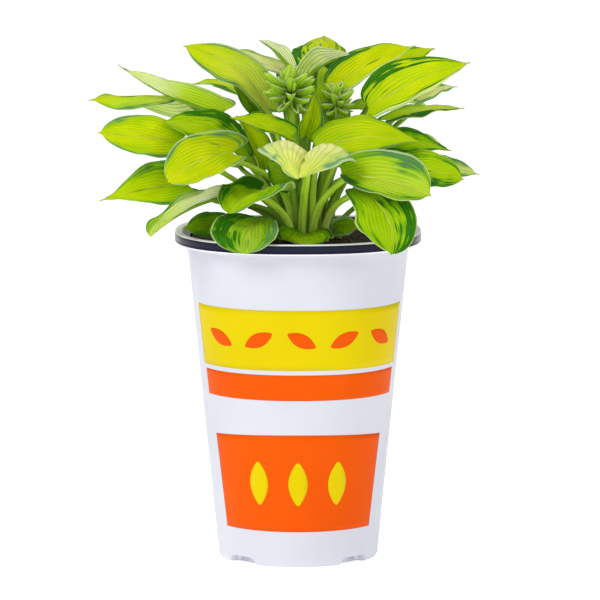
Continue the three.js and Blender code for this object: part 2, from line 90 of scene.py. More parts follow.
def amount(name, description, default, **more):
    return FloatProperty(name=name, description=description, default=default, min=0, **more)


def size(name, description, default):
    return amount(name, description, default, unit="LENGTH", precision=4)


def whole(name, description, default, low, high):
    return IntProperty(name=name, description=description, default=default, min=low, max=high)


def tint(name, description, *steps):
    return FloatVectorProperty(
        name=name, description=description, default=srgb(*steps), min=0, max=1, size=3, subtype="COLOR"
    )


class HostaPotSizes(bpy.types.PropertyGroup):
    """The grower's pot"""

    height: size("Height", "From the surface to the top of the rim", CAD_BOX[0].z + POT_TOP * MM)
    rim_radius: size("Rim radius", "Outside of the rim on the pot's two axes", 81 * MM)
    rim_face: size("Rim face", "Height of the rim's upright band", 5.6 * MM)
    collar_radius: size("Collar radius", "Outside of the shallow collar under the rim", 73 * MM)
    collar_foot: size("Collar foot", "Height where the collar begins", 198 * MM)
    top_radius: size("Wall top radius", "Outside of the wall under the collar", 71.6 * MM)
    foot_radius: size("Wall foot radius", "Outside of the wall at the foot", 52.4 * MM)
    wall: size("Wall", "Thickness of the plastic", 1.9 * MM)
    print_relief: size("Print relief", "How far the printed panels stand off the wall", 0.14 * MM)


class HostaLeafSizes(bpy.types.PropertyGroup):
    """Blades and stalks"""

    blade: size("Blade", "Thickness of a blade", 0.7 * MM)
    margin: size("Margin", "Thickness of a blade at its edge", 0.35 * MM)
    vein_depth: size("Vein depth", "Depth of the grooves along the veins", 0.48 * MM)
    flutter: size("Flutter", "Height of the small waves along an edge", 0.45 * MM)
    veins: whole("Veins", "Veins on each side of the midrib", 6, 2, 12)
    rows: whole("Rows", "Cross rows of a blade's mesh", 38, 12, 80)
    stalk_sides: whole("Stalk sides", "Sides of a stalk's mesh", 14, 8, 32)


class HostaColours(bpy.types.PropertyGroup):
    """Colours of the plant, the mix and the pot"""

    gold: tint("Gold", "Middle of the brightest leaves", 204, 212, 0)
    lime: tint("Lime", "Middle of the other leaves", 152, 192, 2)
    green: tint("Green", "Where the middle turns to the margin", 88, 150, 4)
    deep: tint("Deep green", "Dark margins and shaded leaves", 34, 96, 10)
    bloom: tint("Bloom", "Blue-grey margins", 112, 152, 110)
    edge: tint("Edge", "The thin rim of a margin", 208, 222, 168)
    cream: tint("Cream", "Middle of the palest leaves", 236, 234, 176)
    under: tint("Underside", "Lower side of a blade", 186, 216, 36)
    white_under: tint("Blanched underside", "Lower side of the palest blades", 232, 238, 196)
    stalk: tint("Stalk", "Upper part of a stalk", 194, 226, 66)
    stalk_foot: tint("Stalk foot", "Pale foot of a stalk", 198, 198, 142)
    mix: tint("Potting mix", "Damp peat", 46, 30, 30)
    bark: tint("Bark", "Chips of bark", 122, 72, 54)
    shell: tint("Shell", "Pale outside of the pot", 204, 206, 215)
    lining: tint("Lining", "Dark inside layer and rim", 24, 28, 50)
    sun: tint("Sun yellow", "Upper printed panel", 214, 194, 0)
    orange: tint("Orange", "Lower printed panel", 226, 85, 0)


class HostaStage(bpy.types.PropertyGroup):
    """Floor, light and camera"""

    floor: tint("Floor", "Plain pale floor", 250, 250, 250)
    sky: amount("Sky", "Strength of the even white light", 0.56, max=5)
    key: amount("Key", "Power of the lamp at the upper left", 40, unit="POWER")
    fill: amount("Fill", "Power of the lamp at the right", 10, unit="POWER")
    floor_glow: amount("Floor glow", "Light from the floor itself", 0.5)
    distance: size("Distance", "Camera to the pot's axis, along the ground", 4.0)
    camera_height: size("Camera height", "Camera above the surface", 0.728)


# Small geometry helpers, on numpy arrays whose last axis is x, y, z.

UP = np.array([0.0, 0.0, 1.0])


def row(*values):
    return np.array(values, float)


def unit(v):
    return v / np.maximum(np.linalg.norm(v, axis=-1, keepdims=True), 1e-9)


def dot(a, b):
    return np.sum(a * b, axis=-1, keepdims=True)


def smooth(x, low, high):
    f = np.clip((x - low) / (high - low), 0, 1)
    return f * f * (3 - 2 * f)


def bezier(points, f):
    a, b, c, d = points
    g = 1 - f
    return a * g**3 + 3 * b * g * g * f + 3 * c * g * f * f + d * f**3


def swing(turns, phase=0.0):
    """A sine wave after so many full turns."""
    return np.sin(2 * np.pi * turns + phase)


def round_steps(count):
    """Angles at even steps round a full turn."""
    return 2 * np.pi * np.arange(count) / count


def turned(a, b, angle):
    """Two coordinates turned by an angle."""
    c, s = math.cos(angle), math.sin(angle)
    return a * c - b * s, a * s + b * c


def counter(seed):
    """Draws from 0 to 1, made from the seed in the same way as in the part's own source."""
    state = seed

    def draw():
        nonlocal state
        state = (state * 1664525 + 1013904223) % 4294967296
        return state / 4294967296

    return draw


def grid_faces(rows, columns, start=0, closed=False, flip=False):
    """Quads over a grid of points, closed round its columns or open."""
    faces = []
    for i in range(rows - 1):
        for j in range(columns if closed else columns - 1):
            k = (j + 1) % columns
            a = start + i * columns + j
            b = start + i * columns + k
            quad = (a, b, b + columns, a + columns)
            faces.append(quad[::-1] if flip else quad)
    return faces


def tube_faces(rings, sides):
    """Quads round rings of points, and a flat face on each end."""
    faces = grid_faces(rings, sides, closed=True)
    faces.append(tuple(range(sides))[::-1])
    faces.append(tuple((rings - 1) * sides + k for k in range(sides)))
    return faces


def sheet_faces(rows, columns, flip=False):
    """Faces of a closed sheet: a grid of points, the grid of its other side, and the strip between them."""
    far = rows * columns
    faces = grid_faces(rows, columns, flip=flip) + grid_faces(rows, columns, start=far, flip=not flip)
    border = list(range(columns - 1)) + [i * columns + columns - 1 for i in range(rows - 1)]
    border += [(rows - 1) * columns + j for j in range(columns - 1, 0, -1)]
    border += [i * columns for i in range(rows - 1, 0, -1)]
    for a, b in zip(border, border[1:] + border[:1]):
        faces.append((a, b, far + b, far + a) if flip else (b, a, far + a, far + b))
    return faces


def pointed_body(first, rings, last, flip=False):
    """Rings of points closed into a body by one point at each end."""
    around = len(rings[0])
    points = np.concatenate([[first], *rings, [last]])
    faces = grid_faces(len(rings), around, start=1, closed=True, flip=flip)
    end = 1 + (len(rings) - 1) * around
    for k in range(around):
        n = (k + 1) % around
        for face in ((0, 1 + n, 1 + k), (len(points) - 1, end + k, end + n)):
            faces.append(face[::-1] if flip else face)
    return points, faces


class Shape:
    """Points, faces, materials and fields of one mesh in the making."""

    def __init__(self):
        self.points = []
        self.faces = []
        self.slots = []
        self.maps = []
        self.fields = {}
        self.count = 0

    def add(self, points, faces, slot=0, places=None, **fields):
        """Adds a body. places are its u, v coordinates, and a field is one number or one for each point."""
        points = np.asarray(points, float).reshape(-1, 3)
        n = len(points)
        self.points.append(points)
        self.faces.extend([tuple(k + self.count for k in face) for face in faces])
        slots = slot if isinstance(slot, list) else [slot] * len(faces)
        self.slots.extend(slots)
        self.maps.append(np.zeros((n, 2)) if places is None else np.asarray(places, float).reshape(-1, 2))
        for key in set(self.fields) | set(fields):
            earlier = self.fields.setdefault(key, [np.zeros(self.count)] if self.count else [])
            value = fields.get(key, 0.0)
            earlier.append(np.broadcast_to(np.asarray(value, float).reshape(-1), (n,)))
        self.count += n

    def piece(self, name, materials, slot, replaced=(), body="root"):
        """Makes the Blender object, in metres, and ties it to the frame."""
        points = np.concatenate(self.points) * MM
        mesh = bpy.data.meshes.new(name)
        mesh.from_pydata(points.tolist(), [], self.faces)
        for material in materials:
            mesh.materials.append(material)
        mesh.polygons.foreach_set("material_index", self.slots)
        mesh.polygons.foreach_set("use_smooth", [True] * len(self.faces))
        corners = np.empty(len(mesh.loops), int)
        mesh.loops.foreach_get("vertex_index", corners)
        layer = mesh.uv_layers.new(name="along")
        layer.data.foreach_set("uv", np.concatenate(self.maps)[corners].ravel())
        for key, parts in self.fields.items():
            field = mesh.attributes.new(key, "FLOAT", "POINT")
            field.data.foreach_set("value", np.concatenate(parts).astype(np.float32))
        mesh.update()
        if mesh.validate():
            raise RuntimeError(f"{name} has a face that isn't sound")
        piece = bpy.data.objects.new(name, mesh)
        bpy.context.scene.collection.objects.link(piece)
        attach(piece, body)
        if replaced:
            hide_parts(*replaced)
        return piece


# The pot's plan and the soil's surface, as in the part's source.

PLAN_POWER = 2.35
SOIL_EDGE = 211
SOIL_DOME = 2.2
SOIL_BUMP = 0.54
SOIL_GAP = 0.35
BAY_CEILING = 7.5
BAY_INNER = 44
FLOOR_TOP = 3
NOTCH_HEIGHT = 5
NOTCH_HALF_ANGLE = 13
NOTCH_REACH = (60, BAY_INNER + 1.6)
DRAIN_RADIUS = 1.9
DRAIN_RING = 48
DRAIN_REACH = (2, 10)


def plan_points(radius, angle, z):
    """Points of the pot's plan: a circle whose shoulders are a little squared, rounder toward the foot."""
    power = 2 + (PLAN_POWER - 2) * smooth(np.asarray(z, float), 0, POT_TOP)
    c, s = np.cos(angle), np.sin(angle)
    grow = (np.abs(c) ** power + np.abs(s) ** power) ** (-1 / power)
    return np.stack(np.broadcast_arrays(radius * grow * c, radius * grow * s, np.asarray(z, float)), -1)


def soil_height(x, y):
    reach = np.hypot(x, y) / 70
    bump = np.sin(x * 0.31 + 1.3) * np.cos(y * 0.27 - 0.6) + 0.6 * np.sin(x * 0.13 - y * 0.19)
    return SOIL_EDGE + SOIL_DOME * np.maximum(0, 1 - reach * reach) + SOIL_BUMP * bump


# Leaves. s runs from the stalk (0) to the tip (1), t across from one margin (-1) to the other (1).

BLADE_SLOT, STALK_SLOT = 0, 1
LOBE_PLACE = 0.07
JOINT_PLACE = 0.07
VEIN_LAG = 0.6
BLADE_ENDS = (0.035, 0.965)
COLUMNS_PER_VEIN = 10


def outline(s, full):
    """Width of a blade at s, as a share of its greatest."""
    peak = 0.5 / (0.5 + full)
    return np.sqrt(s / peak) * ((1 - s) / (1 - peak)) ** full


def lobe_shift(s):
    """How much of the lobes' reach a blade has at s."""
    return (s / LOBE_PLACE) * np.exp(1 - s / LOBE_PLACE)


def along_share(values, s):
    """Values at even steps from base to tip, run smoothly together, or one number that holds all along."""
    if np.ndim(values) == 0:
        return np.full(np.shape(s), float(values))
    place = np.clip(np.asarray(s, float), 0, 1) * (len(values) - 1)
    low = np.minimum(place.astype(int), len(values) - 2)
    values = np.asarray(values, float)
    return values[low] + (values[low + 1] - values[low]) * smooth(place - low, 0, 1)


def sided(value, sign):
    """A setting on the side that sign points to: one number for both sides, or a pair."""
    left, right = value if isinstance(value, tuple) else (value, value)
    return np.where(sign < 0, left, right)


def sided_share(pair, s, sign):
    """A pair of settings that run from base to tip, on the side that sign points to."""
    return np.where(sign < 0, along_share(pair[0], s), along_share(pair[1], s))


def vein_place(s, t):
    """Which vein a point lies on, from 0. Veins leave the midrib one after the other and run to the tip."""
    reach = np.abs(t)
    return reach + VEIN_LAG * (1 - s * (1 - reach))


def blade_frame(leaf):
    base = row(*leaf.base)
    chord = row(*leaf.tip) - base
    length = float(np.linalg.norm(chord))
    along = chord / length
    face = row(*leaf.face)
    normal = unit(face - dot(face, along) * along)
    side = np.cross(normal, along)
    return SimpleNamespace(base=base, length=length, along=along, normal=normal, side=side)


def blade_surface(leaf, axes, s, t):
    """Points half-way through the blade at s and t, before its veins."""
    s = np.asarray(s, float)[..., None]
    t = np.asarray(t, float)[..., None]
    reach = np.abs(t)
    sign = np.sign(t)
    u = s - sided(leaf.lobe, sign) * reach**1.6 * lobe_shift(s)
    u = u + leaf.cusp * smooth(s, 0.86, 1) ** 2 * (1 - reach) ** 2
    slope = 4 * (1 - 2 * u)
    tangent = unit(axes.along + axes.normal * leaf.rise * slope + axes.side * leaf.bend * slope)
    side = unit(axes.side - dot(tangent, axes.side) * tangent)
    turn = math.radians(leaf.twist) * (s - 0.3)
    side = side * np.cos(turn) + np.cross(tangent, side) * np.sin(turn)
    normal = np.cross(tangent, side)
    girth = sided_share((leaf.left, leaf.right), s, sign)
    half = 0.5 * leaf.width * (1 + sign * leaf.lean) * girth
    wide = half * outline(s, leaf.full) * reach
    lift = np.radians(leaf.fold + sign * leaf.skew + leaf.curl * reach * 0.5)
    wave = leaf.wave * reach * reach * swing(2 * s + 0.3 * sign, leaf.base[0])
    bow = 4 * u * (1 - u)
    rib = axes.base + axes.along * axes.length * u
    rib = rib + axes.normal * axes.length * leaf.rise * bow + axes.side * axes.length * leaf.bend * bow
    hem = sided_share(leaf.hem, s, sign) * smooth(reach, 0.3, 1) ** 2
    lifted = wide * np.sin(lift) + wide * hem + wave
    return rib + side * sign * wide * (np.cos(lift) - 0.3 * np.abs(hem)) + normal * lifted


def blade_normal(leaf, axes, s, t):
    s = np.asarray(s, float)
    t = np.asarray(t, float)
    ds = blade_surface(leaf, axes, np.minimum(s + 0.004, 0.999), t)
    ds = ds - blade_surface(leaf, axes, np.maximum(s - 0.004, 0.0005), t)
    dt = blade_surface(leaf, axes, s, np.minimum(t + 0.03, 1))
    dt = dt - blade_surface(leaf, axes, s, np.maximum(t - 0.03, -1))
    return unit(np.cross(ds, dt))


def margin_width(leaf, s, t, draws):
    """How far the green margin reaches in from the edge at s, as a share of the half width."""
    drift = 0
    for k, (strength, turns) in enumerate(((0.3, 1.3), (0.22, 2.7), (0.14, 5.1))):
        drift = drift + strength * swing(turns * s, draws[k] + np.sign(t) * draws[k + 3])
    return sided_share(leaf.edge, s, t) * (1 + drift)


def add_blade(shape, leaf, axes, sizes, rows, veins):
    """A blade as a closed sheet: two faces with grooves along the veins, and a thinner edge."""
    dice = random.Random(leaf.name)
    draws = [dice.uniform(0, 2 * math.pi) for _ in range(6)]
    across = np.linspace(-1, 1, COLUMNS_PER_VEIN * veins + 1)
    down = 0.5 - 0.5 * np.cos(np.pi * np.linspace(*BLADE_ENDS, rows))
    s, t = np.meshgrid(down, across, indexing="ij")
    reach = np.abs(t)
    vein = vein_place(s, t) * veins
    crest = (0.5 - 0.5 * np.cos(2 * np.pi * vein)) * smooth(reach, 0, 0.06)
    local = outline(s, leaf.full) * smooth(s, 0, 0.1)
    depth = sizes.vein_depth / MM * leaf.ripple * local * smooth(1 - s, 0, 0.12)
    flutter = swing(3.3 * s, draws[4] + 2 * np.sign(t)) + 0.4 * swing(6.1 * s)
    flutter = flutter * sizes.flutter / MM * leaf.flutter * leaf.width / 36 * reach**4 * smooth(s, 0, 0.15)
    swell = 0.5 * swing(1.7 * s + 0.7 * t, draws[0]) + 0.4 * swing(3.1 * s - t, draws[1])
    swell = swell * local * leaf.flutter * leaf.width / 45
    normal = blade_normal(leaf, axes, s, t)
    middle = blade_surface(leaf, axes, s, t) + normal * (depth * (crest - 0.55) + flutter + swell)[..., None]
    thickness = sizes.blade + (sizes.margin - sizes.blade) * smooth(reach, 0.8, 1)
    half = (0.5 * thickness / MM)[..., None]
    places = np.stack([s, 0.5 + 0.5 * np.sign(t) * vein_place(s, t) / (1 + VEIN_LAG)], -1)

    def both(field):
        return np.tile(field.ravel(), 2)

    shape.add(
        np.stack([middle + normal * half, middle - normal * half]),
        sheet_faces(*s.shape, flip=True),
        BLADE_SLOT,
        np.stack([places, places]),
        rim=both(reach - 1 + margin_width(leaf, s, t, draws)),
        vein=both(vein),
        reach=both(reach),
        under=np.repeat([0, 1], s.size),
        gold=leaf.gold,
        bloom=both(sided(leaf.bloom, t)),
        trim=both(reach - 1 + sided(leaf.trim, t)),
        jag=leaf.jag,
        pale=both(along_share(leaf.pale, s)),
        # painted shade: how far the blade is darkened toward a shadow green
        shade=both(along_share(leaf.shade, s)),
        grain=dice.uniform(0, 50),
    )


def tube_rings(path, radii, reference, sides, groove=None):
    """Rings round a path. reference is the way the channel faces at each point, groove how deep it is."""
    tangent = unit(np.gradient(path, axis=0))
    u = unit(reference - dot(reference, tangent) * tangent)
    v = np.cross(tangent, u)
    angle = round_steps(sides)
    away = np.minimum(angle, 2 * np.pi - angle)
    grooves = np.zeros(len(path)) if groove is None else groove
    girth = 1 - grooves[:, None] * np.exp(-((away / 0.62) ** 2))[None, :]
    reach = (radii[:, None] * girth)[..., None]
    ring = u[:, None, :] * np.cos(angle)[None, :, None] + v[:, None, :] * np.sin(angle)[None, :, None]
    return path[:, None, :] + ring * reach


def add_tube(shape, rings, slot, **fields):
    """Rings of points closed into a tube with flat ends. u runs along it and v round it."""
    n, m = rings.shape[:2]
    places = np.meshgrid(np.linspace(0, 1, n), np.arange(m) / m, indexing="ij")
    shape.add(rings, tube_faces(n, m), slot, np.stack(places, -1), **fields)


STALK_FOOT = 2.35
SUNK = 6
UPRIGHT_PART = 3
CHANNEL = 0.42
STEM_RINGS = 22
RIB_RINGS = 13


def stalk_root(root):
    """The soil's height at a root, the stalk's sunken end, and the place where it starts to bend."""
    x, y = root
    ground = float(soil_height(x, y))
    return ground, row(x, y, ground - SUNK), row(x, y, ground + UPRIGHT_PART)


def add_stalk(shape, leaf, axes, sizes):
    """The stalk, upright in the mix and then one smooth curve to the blade, and the midrib it runs on in."""
    foot_radius = STALK_FOOT - 0.4 if leaf.small else STALK_FOOT * leaf.thick
    ground, sunk, level = stalk_root(leaf.root)
    joint = blade_surface(leaf, axes, JOINT_PLACE, 0.0)
    distance = np.linalg.norm(joint - level)
    straight = unit(axes.along + axes.normal * leaf.rise * 4)
    arrive = unit(straight + (UP - straight) * leaf.upright)
    normal = blade_normal(leaf, axes, JOINT_PLACE, 0.0)
    under = normal - dot(normal, arrive) * arrive
    joint = joint + under * (0.25 - leaf.stalk_top)
    steer = (level, level + UP * distance * leaf.rising, joint - arrive * distance * leaf.neck, joint)
    f = np.linspace(0, 1, STEM_RINGS)
    stem = bezier(steer, f[:, None])
    stem_radii = foot_radius + (leaf.stalk_top - foot_radius) * f
    stem_radii = stem_radii + 0.18 * foot_radius * np.exp(-(((stem[:, 2] - ground) / 7) ** 2))
    ribs = np.linspace(0.11, 0.94, RIB_RINGS)
    rib_radii = leaf.stalk_top * (1 - ribs) ** 0.8 * 0.8
    middles = blade_surface(leaf, axes, ribs, np.zeros_like(ribs))
    normals = blade_normal(leaf, axes, ribs, np.zeros_like(ribs))
    rib = middles - normals * (rib_radii * 0.86)[:, None]
    path = np.concatenate([[sunk], stem, rib])
    radii = np.concatenate([[foot_radius], stem_radii, rib_radii])
    inward = unit(row(-sunk[0], -sunk[1], 0.01))
    mixed = np.concatenate([[0], f, np.ones(RIB_RINGS)])[:, None]
    facing = np.concatenate([np.repeat(normal[None], 1 + STEM_RINGS, 0), normals])
    reference = unit(inward * (1 - mixed) + facing * mixed)
    groove = CHANNEL * np.concatenate([[0], smooth(f, 0.02, 0.3), 1 - smooth(ribs, 0.1, 0.25)])
    rings = tube_rings(path, radii, reference, sizes.stalk_sides, groove)
    height = np.repeat(path[:, 2] - ground, sizes.stalk_sides)
    foot = leaf.pale_foot * (1 - smooth(height, 2, 30))
    grain = random.Random(leaf.name).uniform(0, 50)
    # stalk_shade is painted shade: stalks further back are drawn darker.
    add_tube(shape, rings, STALK_SLOT, foot=foot, shade=leaf.stalk_shade, grain=grain)


# What a leaf is like unless its own line says otherwise. A setting with two sides takes a number, or a pair
# for left and right. One that runs along the leaf takes a number, or a row of numbers from base to tip. edge
# and hem are pairs of the second kind.
# Form: width is in millimetres. rise and bend are how far the midrib bows up and sideways. fold is how far
# the halves are raised, skew is added to it on the right and taken off on the left, curl is added toward the
# edge, and twist turns the whole blade, all in degrees. wave is the height of the large waves, full how soon
# the blade narrows to its tip, lean how much wider its right half is, and lobe how far a side reaches back at
# the base. left and right are shares of the width, hem is how far the edge turns up, cusp how far the tip is
# drawn out, and ripple and flutter are the depth of the grooves and of the small waves.
# Stalk: rising and neck are how straight it leaves the mix and meets the blade, and upright how steeply it
# meets it. small and thick set its foot, and a small leaf has fewer veins. stalk_top is its upper radius,
# stalk_shade is painted shade for the stalks further back in the clump, and pale_foot how pale its foot.
# Colour: gold is how yellow the middle is, edge how far the margin's green reaches in, bloom how blue-grey
# the margin is, jag how ragged, and trim how wide its light rim is. pale is how white the leaf is, and shade
# is painted shade: how far the leaf is darkened, for some leaves partly their own darker green.
USUAL = dict(
    width=36, rise=0.08, bend=0, fold=12, skew=0, curl=-6, twist=0, wave=0.8, full=1.05, lean=0, lobe=0.14,
    left=1, right=1, hem=(0, 0), cusp=0.03, ripple=1, flutter=1,
    neck=0.22, rising=0.42, upright=0.4, small=False, thick=1, stalk_top=1.7, stalk_shade=0.7, pale_foot=0.3,
    gold=0.5, edge=((0.08, 0.1, 0.14), (0.08, 0.1, 0.14)), bloom=0.2, jag=0.25, trim=0.02, pale=0, shade=0,
)


def leaf(number, root, base, tip, face, **rest):
    """A leaf: where its stalk stands, the blade's two ends, and the way its upper side faces."""
    own = dict(name=f"leaf_{number:02d}", root=root, base=base, tip=tip, face=face, **rest)
    return SimpleNamespace(**{**USUAL, **own})


